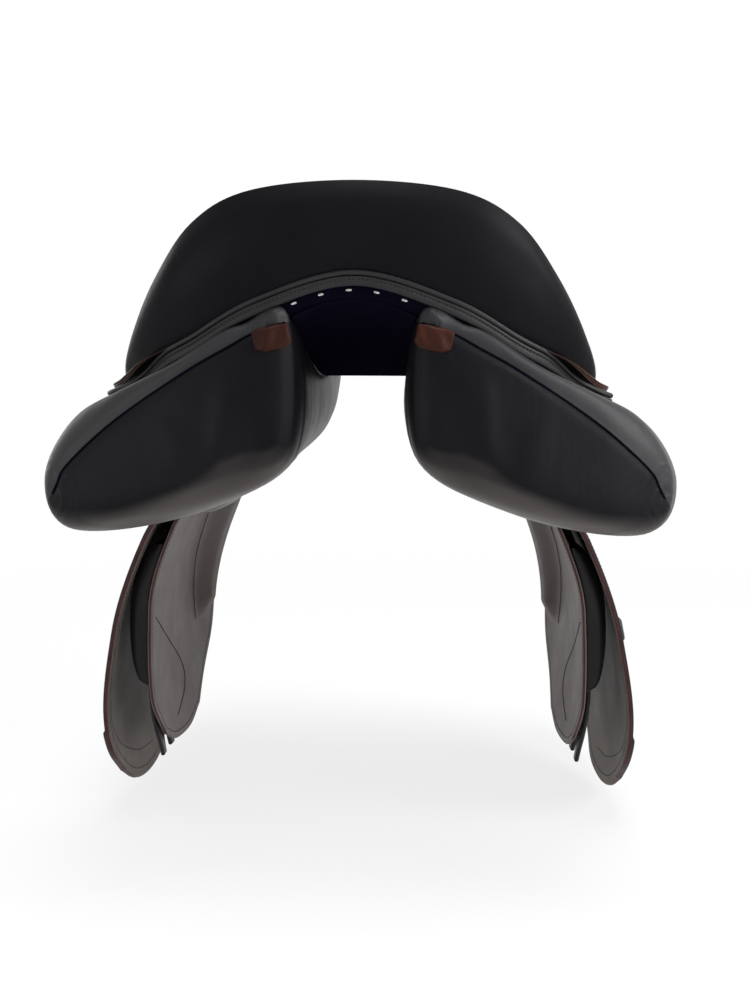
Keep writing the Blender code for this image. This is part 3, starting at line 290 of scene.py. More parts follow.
# Smooth value from a table of (place, value) pairs, without overshoot.
def along(table, value):
    if value <= table[0][0]:
        return table[0][1]
    if value >= table[-1][0]:
        return table[-1][1]
    index = max(i for i in range(len(table) - 1) if table[i][0] <= value)
    slopes = [(b[1] - a[1]) / (b[0] - a[0]) for a, b in zip(table, table[1:])]

    def tangent(i):
        if i == 0:
            return slopes[0]
        if i == len(table) - 1:
            return slopes[-1]
        before, after = slopes[i - 1], slopes[i]
        if before * after <= 0.0:
            return 0.0
        return 2.0 * before * after / (before + after)

    span = table[index + 1][0] - table[index][0]
    t = (value - table[index][0]) / span
    rise = table[index + 1][1] - table[index][1]
    start, stop = tangent(index) * span, tangent(index + 1) * span
    square, cube = 3.0 * rise - 2.0 * start - stop, start + stop - 2.0 * rise
    return table[index][1] + t * (start + t * (square + t * cube))


# Smooth step from 0 to 1.
def ease(value):
    t = min(max(value, 0.0), 1.0)
    return t * t * (3.0 - 2.0 * t)


# Point of a smooth curve through the points, at a place counted in points.
def onSpline(points, place, closed=False):
    count = len(points)
    if closed:
        base = math.floor(place)
        picks = [Vector(points[(base + k) % count]) for k in (-1, 0, 1, 2)]
    else:
        base = min(int(place), count - 2)
        picks = [Vector(points[min(max(base + k, 0), count - 1)]) for k in (-1, 0, 1, 2)]
        if base == 0:
            picks[0] = picks[1] * 2.0 - picks[2]
        if base == count - 2:
            picks[3] = picks[2] * 2.0 - picks[1]
    t = place - base
    a, b, c, d = picks
    linear = (c - a) * 0.5
    square = a - b * 2.5 + c * 2.0 - d * 0.5
    cube = (d - a) * 0.5 + (b - c) * 1.5
    return b + linear * t + square * t * t + cube * t * t * t


# Point of a smooth curve that starts and ends on the middle plane and carries on as its mirror image.
def onCrest(points, place):
    def flipped(point):
        return (-point[0], point[1], point[2])

    return onSpline([flipped(points[1]), *points, flipped(points[-2])], place + 1.0)


# Evenly spaced places on the curve through the points.
def samples(points, count, closed=False):
    last = len(points) if closed else len(points) - 1
    steps = range(count) if closed else range(count + 1)
    return [onSpline(points, last * i / count, closed) for i in steps]


# Points at equal steps of length along a line of points.
def even(points, spacing):
    lengths = [0.0]
    for a, b in zip(points, points[1:]):
        lengths.append(lengths[-1] + (b - a).length)
    count = max(2, round(lengths[-1] / spacing))
    result, index = [], 0
    for i in range(count + 1):
        target = lengths[-1] * i / count
        while index < len(lengths) - 2 and lengths[index + 1] < target:
            index += 1
        span = max(lengths[index + 1] - lengths[index], 1e-9)
        result.append(points[index].lerp(points[index + 1], min(1.0, (target - lengths[index]) / span)))
    return result


# Point moved down.
def lowered(point, drop):
    return point - Vector((0.0, 0.0, drop))


# Place from 0 to high up to which a test holds.
def lastPlace(test, high):
    low = 0.0
    for _ in range(30):
        middle = 0.5 * (low + high)
        low, high = (middle, high) if test(middle) else (low, middle)
    return 0.5 * (low + high)


# Outer and inner grids of points, from a function that gives both points at a row and a column.
def grids(rows, columns, spots):
    pairs = [[spots(row, column) for column in columns] for row in rows]
    return [[[pair[side] for pair in line] for line in pairs] for side in (0, 1)]


# Faces between two closed rings of vertices.
def bridge(mesh, one, two):
    for k in range(len(one)):
        n = (k + 1) % len(one)
        mesh.faces.new((one[k], one[n], two[n], two[k]))


# Lengths along a line up to each of its points.
def lengthsOf(points):
    lengths = [0.0]
    for a, b in zip(points, points[1:]):
        lengths.append(lengths[-1] + (b - a).length)
    return lengths


# Links a bmesh as a smooth object in its materials, riding on a body and standing for nodes.
def addObject(name, mesh, materials, body, *replaced):
    bmesh.ops.remove_doubles(mesh, verts=mesh.verts, dist=0.000002)
    bmesh.ops.recalc_face_normals(mesh, faces=mesh.faces)
    data = bpy.data.meshes.new(name)
    mesh.to_mesh(data)
    mesh.free()
    data.shade_smooth()
    data.set_sharp_from_angle(angle=math.radians(40.0))
    obj = bpy.data.objects.new(name, data)
    bpy.context.collection.objects.link(obj)
    for material in materials:
        data.materials.append(material)
    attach(obj, body)
    if replaced:
        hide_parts(*replaced)
    return obj


# Right-hand object and its left-hand mirror image; a body or node name without a side gets one.
def addSides(name, mesh, materials, body, *replaced):
    left = mesh.copy()
    for vertex in left.verts:
        vertex.co[0] = -vertex.co[0]
    bmesh.ops.reverse_faces(left, faces=left.faces)
    made = []
    for side, part in (("_r", mesh), ("_l", left)):
        place = body if body == "saddle" else body + side
        stoodFor = [node + side for node in replaced]
        made.append(addObject(name + side, part, materials, place, *stoodFor))
    return made


# Closed sheet between two point grids whose border bulges, with its own slots on border and underside.
def shell(upper, lower, whole=False, border=1, under=2, proud=0.35):
    mesh = bmesh.new()
    slots = (0, 0 if under != border else border, border, border, under)
    for side in (1.0, -1.0) if whole else (1.0,):
        over = [[mesh.verts.new((side * p[0], p[1], p[2])) for p in row] for row in upper]
        below = [[mesh.verts.new((side * p[0], p[1], p[2])) for p in row] for row in lower]
        rows, columns = len(over), len(over[0])
        for i in range(rows - 1):
            for k in range(columns - 1):
                mesh.faces.new((over[i][k], over[i + 1][k], over[i + 1][k + 1], over[i][k + 1]))
                face = mesh.faces.new((below[i][k], below[i][k + 1], below[i + 1][k + 1], below[i + 1][k]))
                face.material_index = under
        loop = [(i, 0) for i in range(rows - 1)] + [(rows - 1, k) for k in range(columns - 1)]
        loop += [(i, columns - 1) for i in range(rows - 1, 0, -1)]
        loop += [(0, k) for k in range(columns - 1, 0, -1)]
        pushes = []
        for i, k in loop:
            m, n = min(max(i, 1), rows - 2), min(max(k, 1), columns - 2)
            centre = (over[i][k].co + below[i][k].co) * 0.5
            away = centre - (over[m][n].co + below[m][n].co) * 0.5
            thick = (over[i][k].co - below[i][k].co).length
            push = away.normalized() * thick * proud if away.length > 0.0 else Vector()
            if whole and abs(centre[0]) < 0.00001:
                push[0] = 0.0
            pushes.append(push)
        rings = [[over[i][k] for i, k in loop]]
        for share in (0.12, 0.32, 0.68, 0.88):
            swell = math.sin(math.pi * share) ** 0.6
            rings.append([mesh.verts.new(over[i][k].co.lerp(below[i][k].co, share) + push * swell)
                          for (i, k), push in zip(loop, pushes)])
        rings.append([below[i][k] for i, k in loop])
        for one, two, slot in zip(rings, rings[1:], slots):
            for j in range(len(loop)):
                n = (j + 1) % len(loop)
                if whole and abs(one[j].co[0]) < 0.00001 and abs(one[n].co[0]) < 0.00001:
                    continue
                mesh.faces.new((one[j], one[n], two[n], two[j])).material_index = slot
    return mesh


# Round or flattened tube along points, with closed ends.
def tube(points, radius, sides=10, flatten=1.0, normals=None):
    mesh = bmesh.new()
    rings = []
    for i, point in enumerate(points):
        heading = (points[min(i + 1, len(points) - 1)] - points[max(i - 1, 0)]).normalized()
        rise = Vector(normals[i]) if normals else Vector((0.0, 0.0, 1.0))
        if abs(heading.dot(rise)) > 0.95:
            rise = Vector((0.0, 1.0, 0.0))
        across = heading.cross(rise).normalized()
        rise = across.cross(heading)
        ring = []
        for k in range(sides):
            angle = 2.0 * math.pi * k / sides
            spot = across * math.cos(angle) * radius + rise * math.sin(angle) * radius * flatten
            ring.append(mesh.verts.new(point + spot))
        rings.append(ring)
    for one, two in zip(rings, rings[1:]):
        bridge(mesh, one, two)
    mesh.faces.new(rings[0])
    mesh.faces.new(rings[-1])
    return mesh


# One bmesh from several.
def joined(meshes):
    whole = bmesh.new()
    data = bpy.data.meshes.new("joining")
    for mesh in meshes:
        mesh.to_mesh(data)
        whole.from_mesh(data)
        mesh.free()
    bpy.data.meshes.remove(data)
    return whole


stitch = {"length": 0.0026, "gap": 0.0009, "width": 0.00045, "rise": 0.00030, "sink": 0.00012, "sides": 6,
          "rings": ((-1.0, 0.25), (-0.7, 0.85), (0.0, 1.0), (0.7, 0.85), (1.0, 0.25))}


# Row of small raised stitches along a line on a surface.
def stitchRow(points, normals, length=stitch["length"], width=stitch["width"], gap=stitch["gap"]):
    mesh = bmesh.new()
    lengths = lengthsOf(points)
    total = lengths[-1]
    count = max(1, int(total / (length + gap)))

    def spot(distance):
        low = max(k for k in range(len(lengths) - 1) if lengths[k] <= distance)
        share = min((distance - lengths[low]) / max(lengths[low + 1] - lengths[low], 1e-9), 1.0)
        normal = normals[low].lerp(normals[low + 1], share).normalized()
        return points[low].lerp(points[low + 1], share), normal

    for i in range(count):
        middle = (i + 0.5) * total / count
        centre, normal = spot(middle)
        ahead = spot(min(middle + 0.0004, total - 1e-7))[0] - spot(max(middle - 0.0004, 0.0))[0]
        heading = ahead.normalized()
        across = normal.cross(heading).normalized()
        rings = []
        for place, size in stitch["rings"]:
            ring = []
            for k in range(stitch["sides"]):
                angle = 2.0 * math.pi * k / stitch["sides"]
                side = across * math.cos(angle) * width * size
                up = normal * (math.sin(angle) * stitch["rise"] * size - stitch["sink"] * place * place)
                ring.append(mesh.verts.new(centre + heading * place * 0.5 * length + side + up))
            rings.append(ring)
        for one, two in zip(rings, rings[1:]):
            bridge(mesh, one, two)
        mesh.faces.new(rings[0])
        mesh.faces.new(rings[-1])
    return mesh


# Seat: half widths, heights and the lines that shape it
seat = {
    "back": 0.238, "front": 0.238, "cantleTop": 0.150, "cantleHalf": 0.178, "cornerY": -0.150,
    "pommelTop": 0.103, "weltHeight": 0.088, "bulge": 0.009, "crownPower": 2.2,
    "spineBack": -0.060, "spineFront": 0.070, "ribs": 24, "crowding": 0.65, "cover": 0.0022,
    "seamRibs": (5.6, 23.4), "seamRings": (0.66, 0.93), "seamTurn": (9.0, 3.4), "seamPoints": 160,
    "seamPasses": 60, "seamRadius": 0.0011, "seamRow": 0.0034,
}
waist = {"half": 0.092, "height": 0.004, "taper": -0.11, "rise": 0.21, "bendOut": 0.006, "bendDrop": 0.004}


# Lower edge of the seat along the waist and twist.
def edgeLine(y):
    return Vector((waist["half"] + waist["taper"] * y, y, waist["height"] + waist["rise"] * y))


# Line on which the flap and the skirt bend.
def bendLine(y):
    return edgeLine(y) + Vector((waist["bendOut"], 0.0, -waist["bendDrop"]))


# Crest of the cantle with the seat's edge, and the cover's lower edge point for point below it.
def rimLines():
    half, back, corner, top = seat["cantleHalf"], seat["back"], seat["cornerY"], seat["cantleTop"]
    rim = [(0.0, -back, top), (0.421 * half, 0.006 - back, top - 0.007),
           (0.664 * half, 0.020 - back, top - 0.029), (0.834 * half, 0.038 - back, top - 0.068),
           (0.955 * half, corner - 0.026, 0.042), (half, corner, 0.016),
           (0.921 * half, corner + 0.042, 0.011), (0.753 * half, corner + 0.088, 0.010),
           (edgeLine(-0.020)[0] + 0.012, -0.020, 0.011)]
    rim += [(edgeLine(y)[0] - inset, y, edgeLine(y)[2] + rise) for y, inset, rise in
            ((0.014, 0.003, 0.009), (0.060, 0.004, 0.010), (0.110, 0.004, 0.011), (0.160, 0.004, 0.012),
             (0.202, 0.004, 0.015))]
    rim += [(0.044, seat["front"] - 0.008, seat["pommelTop"] - 0.019),
            (0.0, seat["front"], seat["pommelTop"] - 0.007)]
    welt = seat["weltHeight"]
    edge = [(0.0, 0.005 - back, welt), (0.404 * half, 0.009 - back, welt - 0.020),
            (0.680 * half, 0.025 - back, welt - 0.0475), (0.831 * half, 0.043 - back, welt - 0.0615),
            (0.955 * half, corner - 0.020, 0.010), (1.017 * half, corner + 0.003, 0.002),
            (0.944 * half, corner + 0.045, 0.001), (0.775 * half, corner + 0.090, 0.0),
            (edgeLine(-0.018)[0] + 0.016, -0.018, 0.001)]
    edge += [tuple(edgeLine(y)) for y in (0.016, 0.060, 0.110, 0.160, 0.202)]
    edge += [(0.048, seat["front"] - 0.002, 0.056), (0.0, seat["front"] + 0.005, 0.062)]
    return rim, edge


rimLine, seatEdge = rimLines()
centreLine = [(-0.238, 0.150), (-0.232, 0.149), (-0.218, 0.142), (-0.200, 0.1295), (-0.180, 0.114),
              (-0.150, 0.090), (-0.110, 0.062), (-0.060, 0.050), (-0.010, 0.046), (0.050, 0.050),
              (0.100, 0.062), (0.150, 0.081), (0.200, 0.100), (0.222, 0.103), (0.238, 0.096)]
bulges = [(0.0, seat["bulge"]), (2.0, 0.9 * seat["bulge"]), (4.0, 0.4 * seat["bulge"]), (5.0, 0.0020),
          (13.0, 0.0020), (15.0, 0.0060)]


# Place along the rim at which it crosses y.
def rimPlaceAt(y):
    return lastPlace(lambda place: onCrest(rimLine, place)[1] < y, len(rimLine) - 1.0)


rimWidths = {}


# Height of the seat's surface.
def seatHeight(x, y):
    key = round(y, 4)
    if key not in rimWidths:
        rim = onCrest(rimLine, rimPlaceAt(key))
        rimWidths[key] = (rim[0], rim[2])
    width, height = rimWidths[key]
    centre = along(centreLine, y)
    share = min(abs(x) / max(width, 0.004), 1.0)
    return centre + (height - centre) * share ** seat["crownPower"]


# Place of a rib along the rim, closer together at the cantle.
def ribPlace(rib):
    share = rib / seat["ribs"]
    return (len(rimLine) - 1.0) * share * (seat["crowding"] + (1.0 - seat["crowding"]) * share)


# Point of the seat's skin: ring goes from the spine at 0 over the rim at 1 to the lower edge at 2.
def seatSpot(rib, ring, keep=1.0):
    place = ribPlace(rib)
    rim, edge = onCrest(rimLine, place), onCrest(seatEdge, place)
    if rib <= 0.0 or rib >= seat["ribs"]:
        rim[0] = edge[0] = 0.0
    length = seat["spineFront"] - seat["spineBack"]
    start = Vector((0.0, seat["spineBack"] + length * rib / seat["ribs"], 0.0))
    outward = Vector((rim[0] - start[0], rim[1] - start[1], 0.0)).normalized()
    if ring <= 1.0:
        point = start.lerp(rim, ring)
        point[2] = rim[2] if ring == 1.0 else seatHeight(point[0], point[1])
        turn = 0.5 * ease((ring - 0.7) / 0.3)
    else:
        share = (ring - 1.0) * keep
        bulge = along(bulges, place) * math.sin(math.pi * share ** 0.8)
        point = rim.lerp(edge, share) + outward * bulge
        turn = 0.5 + 0.5 * share
    angle = 0.5 * math.pi * turn
    inward = Vector((-outward[0] * math.sin(angle), -outward[1] * math.sin(angle), -math.cos(angle)))
    return point, inward


# Cover over the seat and the cantle, and the seam of each side.
def addSeat():
    def spots(rib, ring):
        point, inward = seatSpot(rib, ring)
        return point, point + inward * seat["cover"]

    ribs = [k / 4.0 for k in range(4 * seat["ribs"] + 1)]
    rings = [k / 16.0 for k in range(17)] + [1.0 + (k / 12.0) ** 0.8 for k in range(1, 13)]
    addObject("cover", shell(*grids(ribs, rings, spots), True),
              [leathers["seat"], leathers["seat"], leathers["dark"]], "saddle", "seat_cover")

    first, last = seat["seamRibs"]
    inner, outer = seat["seamRings"]
    turnEnd, turnSpan = seat["seamTurn"]
    line, normals = [], []
    for k in range(seat["seamPoints"]):
        rib = first + (last - first) * k / (seat["seamPoints"] - 1.0)
        line.append(seatSpot(rib, inner + (outer - inner) * ease((turnEnd - rib) / turnSpan))[0])
    for _ in range(seat["seamPasses"]):
        line[1:-1] = [(a + b * 2.0 + c) * 0.25 for a, b, c in zip(line, line[1:], line[2:])]
    step = 0.001
    for point in line:
        x, y = point[0], point[1]
        point[2] = seatHeight(x, y)
        slopeX = (seatHeight(x + step, y) - seatHeight(x - step, y)) / (2.0 * step)
        slopeY = (seatHeight(x, y + step) - seatHeight(x, y - step)) / (2.0 * step)
        normals.append(Vector((-slopeX, -slopeY, 1.0)).normalized())
    welt = tube([p - n * 0.0004 for p, n in zip(line, normals)], seat["seamRadius"], 8, 0.8, normals)
    addSides("seat_seam", welt, [leathers["seat"]], "saddle")
    rows = []
    for offset in (-seat["seamRow"], seat["seamRow"]):
        moved = []
        for i, (point, normal) in enumerate(zip(line, normals)):
            heading = (line[min(i + 1, len(line) - 1)] - line[max(i - 1, 0)]).normalized()
            spot = point + normal.cross(heading) * offset
            spot[2] = seatHeight(spot[0], spot[1]) + 0.0001
            moved.append(spot)
        rows.append(stitchRow(moved, normals))
    addSides("seat_stitches", joined(rows), [threads["black"]], "saddle")


foam = {"top": 0.0036, "deep": 0.024, "edge": 0.0065, "clearBelow": 0.012, "keep": (0.1, 0.93, 0.045)}


# Seat foam below the cover.
def addFoam():
    least, most, span = foam["keep"]

    def spots(rib, ring):
        place = ribPlace(rib)
        height = onCrest(rimLine, place)[2] - onCrest(seatEdge, place)[2]
        keep = min(max((height - foam["clearBelow"]) / span, least), most)
        point, inward = seatSpot(rib, ring, keep)
        depth = foam["deep"] + (foam["edge"] - foam["deep"]) * ease(min(ring, 1.0))
        return point + inward * foam["top"], point + inward * depth

    rings = [j / 16.0 for j in range(17)] + [1.05, 1.15, 1.28, 1.42, 1.56, 1.72, 1.86, 2.0]
    mesh = shell(*grids([0.25 * k for k in range(4 * seat["ribs"] + 1)], rings, spots), True, 0, 0)
    addObject("foam", mesh, [solids["foam"]], "saddle", "seat_foam")


trim = {
    "weltRadius": 0.0021, "stripHeight": 0.0068, "stripFull": 0.0088, "stripThickness": 0.0025,
    "stripEndHeight": 0.004, "end": 4.6, "spreadStart": 3.3, "spreadOut": 0.015, "spreadDown": 0.002,
    "clear": 0.0002, "layerGap": 0.0006, "tailThickness": 0.0034, "tailPlaces": (2.6, 8.2), "tailWide": 0.010,
    "tailNarrow": 0.003, "tailSlope": 0.15, "tailNose": 0.9, "tailRoot": -0.006,
    "groove": 0.36, "grooveWidth": 0.085, "grooveDepth": 0.0011, "ridge": 0.0010,
}


# Lower edge of the seat cover at the back and its outward direction.
def rearEdge(place):
    edge = onCrest(seatEdge, place)
    if place <= 0.0:
        edge[0] = 0.0
        return edge, Vector((0.0, -1.0, 0.0))
    run = onCrest(seatEdge, place + 0.05) - onCrest(seatEdge, max(place - 0.05, 0.0))
    return edge, Vector((run[1], -run[0], 0.0)).normalized()


# Seat's edge at the back with its ends spread out over the panels, and the outward direction.
def trimEdge(place):
    edge, outward = rearEdge(place)
    share = ease((place - trim["spreadStart"]) / (trim["end"] - trim["spreadStart"]))
    return lowered(edge + outward * (trim["spreadOut"] * share), trim["spreadDown"] * share), outward


# Place at which the trim's edge is a distance from the middle.
def placeAt(across):
    return lastPlace(lambda place: trimEdge(place)[0][0] < across, 3.0)


# Room for the end of the skirt's tail between the seat's edge and the welt.
def tailRoom(place):
    return (trim["tailThickness"] + 4.0 * trim["layerGap"]) * ease((place - 2.45) / 1.5)


# Distance from the seat's edge down to the strip.
def stripTop(place):
    return tailRoom(place) + 2.0 * trim["weltRadius"] + 3.0 * trim["clear"]


# Height of the strip: fuller between the middle and the skirts' ends.
def stripHeight(place):
    full = trim["stripHeight"] + (trim["stripFull"] - trim["stripHeight"]) * ease(place / 1.4)
    return full + (trim["stripEndHeight"] - full) * ease((place - 2.6) / 1.4)


# Welt roll and stitched strip below the cantle's leather, in black leather whose paler base colour is painted
# sheen.
def addTrim():
    places = [trim["end"] * k / 90.0 for k in range(91)]
    path, row, normals = [], [], []
    for place in places:
        edge, outward = trimEdge(place)
        drop = tailRoom(place) + trim["weltRadius"] + trim["clear"]
        path.append(lowered(edge - outward * trim["weltRadius"] * 0.4, drop))
        row.append(lowered(edge, stripTop(place) + stripHeight(place) * trim["groove"]) + outward * 0.0001)
        normals.append(outward)
    path = path[::-1] + [Vector((-p[0], p[1], p[2])) for p in path[1:]]
    addObject("welt", tube(path, trim["weltRadius"], 14), [leathers["edging"]], "saddle", "cantle_welt")

    def spots(place, share):
        edge, outward = trimEdge(place)
        groove = math.exp(-((share - trim["groove"]) / trim["grooveWidth"]) ** 2)
        ridge = math.sin(math.pi * share) ** 0.5
        point = (lowered(edge, stripTop(place) + stripHeight(place) * share)
                 + outward * (trim["ridge"] * ridge - trim["grooveDepth"] * groove))
        return point, point - outward * trim["stripThickness"]

    mesh = shell(*grids(places, [k / 16.0 for k in range(17)], spots), True, 0, 0, 0.2)
    addObject("stitched_strip", mesh, [leathers["edging"]], "saddle", "rear_strip")
    addSides("strip_stitches", stitchRow(row, normals, 0.0018, 0.00080, 0.0015), [threads["grey"]], "saddle")
    # Black flattened tube in the strip's groove: painted shade of the stitched groove
    addSides("strip_groove_shade", tube(row, 0.00075, 6, 0.35, normals), [threads["black"]], "saddle")


gullet = {
    "roof": [(-0.238, 0.070), (-0.200, 0.053), (-0.150, 0.032), (-0.100, 0.015), (-0.050, 0.004), (0.0, 0.0),
             (0.060, 0.003), (0.100, 0.010), (0.150, 0.024), (0.200, 0.040)],
    "channel": [(-0.238, 0.046), (-0.190, 0.044), (-0.100, 0.039), (0.0, 0.036), (0.150, 0.036),
                (0.230, 0.042)],
    "arch": [(-0.238, 0.014), (-0.150, 0.006), (0.0, 0.0), (0.200, 0.010)],
    "rear": -0.228, "front": 0.205, "gap": 0.0014, "thickness": 0.002,
    "facingEnd": 3.1, "facingDrop": 0.013, "facingInset": 0.0030, "facingThickness": 0.0016, "overlap": 0.001,
    "lacing": (-0.043, -0.0235, -0.0035, 0.0165, 0.0365),
    "lacingLength": 0.0046, "lacingWidth": 0.0008, "lacingDrop": 0.0042, "lacingProud": 0.0008,
}


# Point of the facing's plane at a drop below the strip's lower edge, and the outward direction.
def facingSpot(place, drop, proud=0.0):
    edge, outward = trimEdge(place)
    level = stripTop(place) + stripHeight(place) - gullet["overlap"] + drop
    return lowered(edge, level) - outward * (gullet["facingInset"] - proud), outward


# Lining of the channel, the facing at its rear end and the white lacing.
def addGullet():
    def liningSpots(y, share):
        x = share * (along(gullet["channel"], y) - gullet["gap"])
        z = along(gullet["roof"], y) - along(gullet["arch"], y) * share ** 2
        return Vector((x, y, z + gullet["thickness"])), Vector((x, y, z))

    length = gullet["front"] - gullet["rear"]
    rows = [gullet["rear"] + length * i / 60.0 for i in range(61)]
    mesh = shell(*grids(rows, [k / 12.0 for k in range(13)], liningSpots), True, 0, 0)
    addObject("channel_lining", mesh, [leathers["channel"]], "saddle", "gullet_lining")

    def facingSpots(place, share):
        point, outward = facingSpot(place, gullet["facingDrop"] * share)
        point += outward * (0.0010 * math.sin(math.pi * share) - 0.003 * share)
        return point, point - outward * gullet["facingThickness"]

    rows = [gullet["facingEnd"] * i / 40.0 for i in range(41)]
    mesh = shell(*grids(rows, (0.0, 0.12, 0.4, 0.7, 1.0), facingSpots), True, 0, 0)
    addObject("gullet_facing", mesh, [leathers["channel"]], "saddle")

    rows = []
    for x in gullet["lacing"]:
        points = []
        for step in (-0.5, 0.0, 0.5):
            across = x + step * gullet["lacingLength"]
            point = facingSpot(placeAt(abs(across)), gullet["lacingDrop"], gullet["lacingProud"])[0]
            points.append(Vector((across, point[1], point[2])))
        normals = [Vector((0.0, -1.0, 0.0))] * 3
        rows.append(stitchRow(points, normals, gullet["lacingLength"] * 0.95, gullet["lacingWidth"]))
    addObject("lacing", joined(rows), [threads["white"]], "saddle")


panel = {
    "places": (-0.236, -0.228, -0.212, -0.190, -0.150, -0.115, -0.085, -0.055, 0.0, 0.100, 0.180, 0.225),
    "x": (
        (0.054, 0.047, 0.046, 0.045, 0.043, 0.041, 0.039, 0.038, 0.036, 0.036, 0.037, 0.046),
        (0.066, 0.080, 0.088, 0.092, 0.090, 0.086, 0.075, 0.064, 0.053, 0.050, 0.048, 0.051),
        (0.080, 0.112, 0.145, 0.152, 0.158, 0.142, 0.118, 0.098, 0.082, 0.074, 0.064, 0.058),
        (0.096, 0.135, 0.185, 0.209, 0.217, 0.192, 0.146, 0.116, 0.103, 0.098, 0.087, 0.074),
        (0.102, 0.148, 0.205, 0.237, 0.244, 0.220, 0.168, 0.136, 0.127, 0.120, 0.108, 0.090),
        (0.097, 0.141, 0.192, 0.216, 0.222, 0.197, 0.152, 0.128, 0.118, 0.110, 0.100, 0.084),
        (0.076, 0.090, 0.110, 0.122, 0.122, 0.112, 0.100, 0.088, 0.080, 0.074, 0.068, 0.062),
        (0.053, 0.046, 0.044, 0.043, 0.042, 0.041, 0.040, 0.039, 0.038, 0.038, 0.039, 0.048),
    ),
    "z": (
        (0.050, 0.056, 0.055, 0.047, 0.031, 0.019, 0.010, 0.003, -0.002, 0.006, 0.028, 0.020),
        (0.046, 0.0448, 0.038, 0.033, 0.021, 0.010, 0.003, -0.001, -0.003, 0.005, 0.026, 0.018),
        (0.038, 0.0290, 0.012, 0.0030, -0.0090, -0.009, -0.014, -0.019, -0.016, -0.010, 0.008, 0.006),
        (0.018, 0.008, -0.009, -0.019, -0.027, -0.034, -0.049, -0.062, -0.052, -0.048, -0.040, -0.038),
        (-0.015, -0.037, -0.057, -0.068, -0.073, -0.082, -0.092, -0.101, -0.102, -0.099, -0.097, -0.082),
        (-0.045, -0.076, -0.098, -0.108, -0.110, -0.110, -0.110, -0.112, -0.111, -0.108, -0.104, -0.088),
        (-0.041, -0.063, -0.085, -0.095, -0.098, -0.094, -0.088, -0.084, -0.080, -0.076, -0.068, -0.058),
        (-0.030, -0.042, -0.048, -0.048, -0.046, -0.046, -0.046, -0.046, -0.046, -0.040, -0.026, -0.018),
    ),
    "around": 96, "endShares": (0.8, 0.55, 0.3, 0.12), "endRound": 0.0035, "fullness": 0.0060,
    "seamDepth": 0.0022, "seamWidth": 0.0035, "seamThread": 0.0008,
    "folds": ((0.094, -0.10, 0.007, 0.0014, 0.020, -0.060), (0.074, 0.12, 0.006, -0.0008, 0.010, -0.050),
              (0.140, 0.20, 0.009, 0.0009, -0.010, -0.075), (0.185, 0.30, 0.010, 0.0010, -0.045, -0.100)),
    "seam": [(0.0485, 0.0500), (0.069, 0.0446), (0.0913, 0.0325), (0.1146, 0.0195), (0.1506, -0.0034),
             (0.1805, -0.0245), (0.2039, -0.0440), (0.2209, -0.0610), (0.2265, -0.0720), (0.2310, -0.0800)],
}


# Points round the panel's outline across the saddle at one place along it.
def panelControls(y):
    return [(along(list(zip(panel["places"], across)), y), y, along(list(zip(panel["places"], height)), y))
            for across, height in zip(panel["x"], panel["z"])]


# Height of a point above the seam line, measured across it.
def seamHeight(path, point):
    index = min(range(len(path) - 1), key=lambda i: abs(path[i][0] - point[0]) + abs(path[i][2] - point[2]))
    run = path[index + 1] - path[index]
    side = Vector((-run[2], 0.0, run[0])).normalized()
    height = (point - path[index]).dot(side)
    return height if point[1] < -0.17 else max(height, 0.003)


# Panel's stuffed body with its rounded rear face, fuller above the seam and lightly folded below it.
def panelBody():
    stations = [-0.236 + 0.0007 * k for k in range(12)] + [-0.2276 + 0.0023 * k for k in range(1, 60)]
    stations = [y for y in stations if y < -0.092] + [-0.092 + 0.314 * k / 48.0 for k in range(49)]
    mesh = bmesh.new()
    loops = []
    for y in stations:
        loops.append([mesh.verts.new(p) for p in samples(panelControls(y), panel["around"], closed=True)])
    for one, two in zip(loops, loops[1:]):
        bridge(mesh, one, two)
    for loop, direction in ((loops[0], -1.0), (loops[-1], 1.0)):
        centre = sum((v.co for v in loop), Vector()) / len(loop)
        inner = loop
        for share in panel["endShares"]:
            out = Vector((0.0, direction * panel["endRound"] * (1.0 - share * share), 0.0))
            ring = [mesh.verts.new(centre.lerp(v.co, share) + out) for v in loop]
            bridge(mesh, inner, ring)
            inner = ring
        mesh.faces.new(inner)
    bmesh.ops.recalc_face_normals(mesh, faces=mesh.faces)
    for _ in range(6):
        bmesh.ops.smooth_vert(mesh, verts=[v for v in mesh.verts if v.co[1] < -0.205], factor=0.5,
                              use_axis_x=True, use_axis_y=True, use_axis_z=True)
    for vertex in mesh.verts:
        x, y, z = vertex.co
        lift = panel["fullness"] * math.exp(-((x - 0.088) / 0.030) ** 2) * ease((-0.190 - y) / 0.030)
        vertex.co[2] += lift * ease((z - along(panel["seam"], x)) / 0.009)
        for middle, lean, width, height, top, bottom in panel["folds"]:
            away = (x - middle - lean * z) / width
            span = ease((top - z) / 0.02) * ease((z - bottom) / 0.03)
            vertex.co[1] -= height * math.exp(-away * away) * span * ease((-0.222 - y) / 0.010)
    mesh.normal_update()
    return mesh


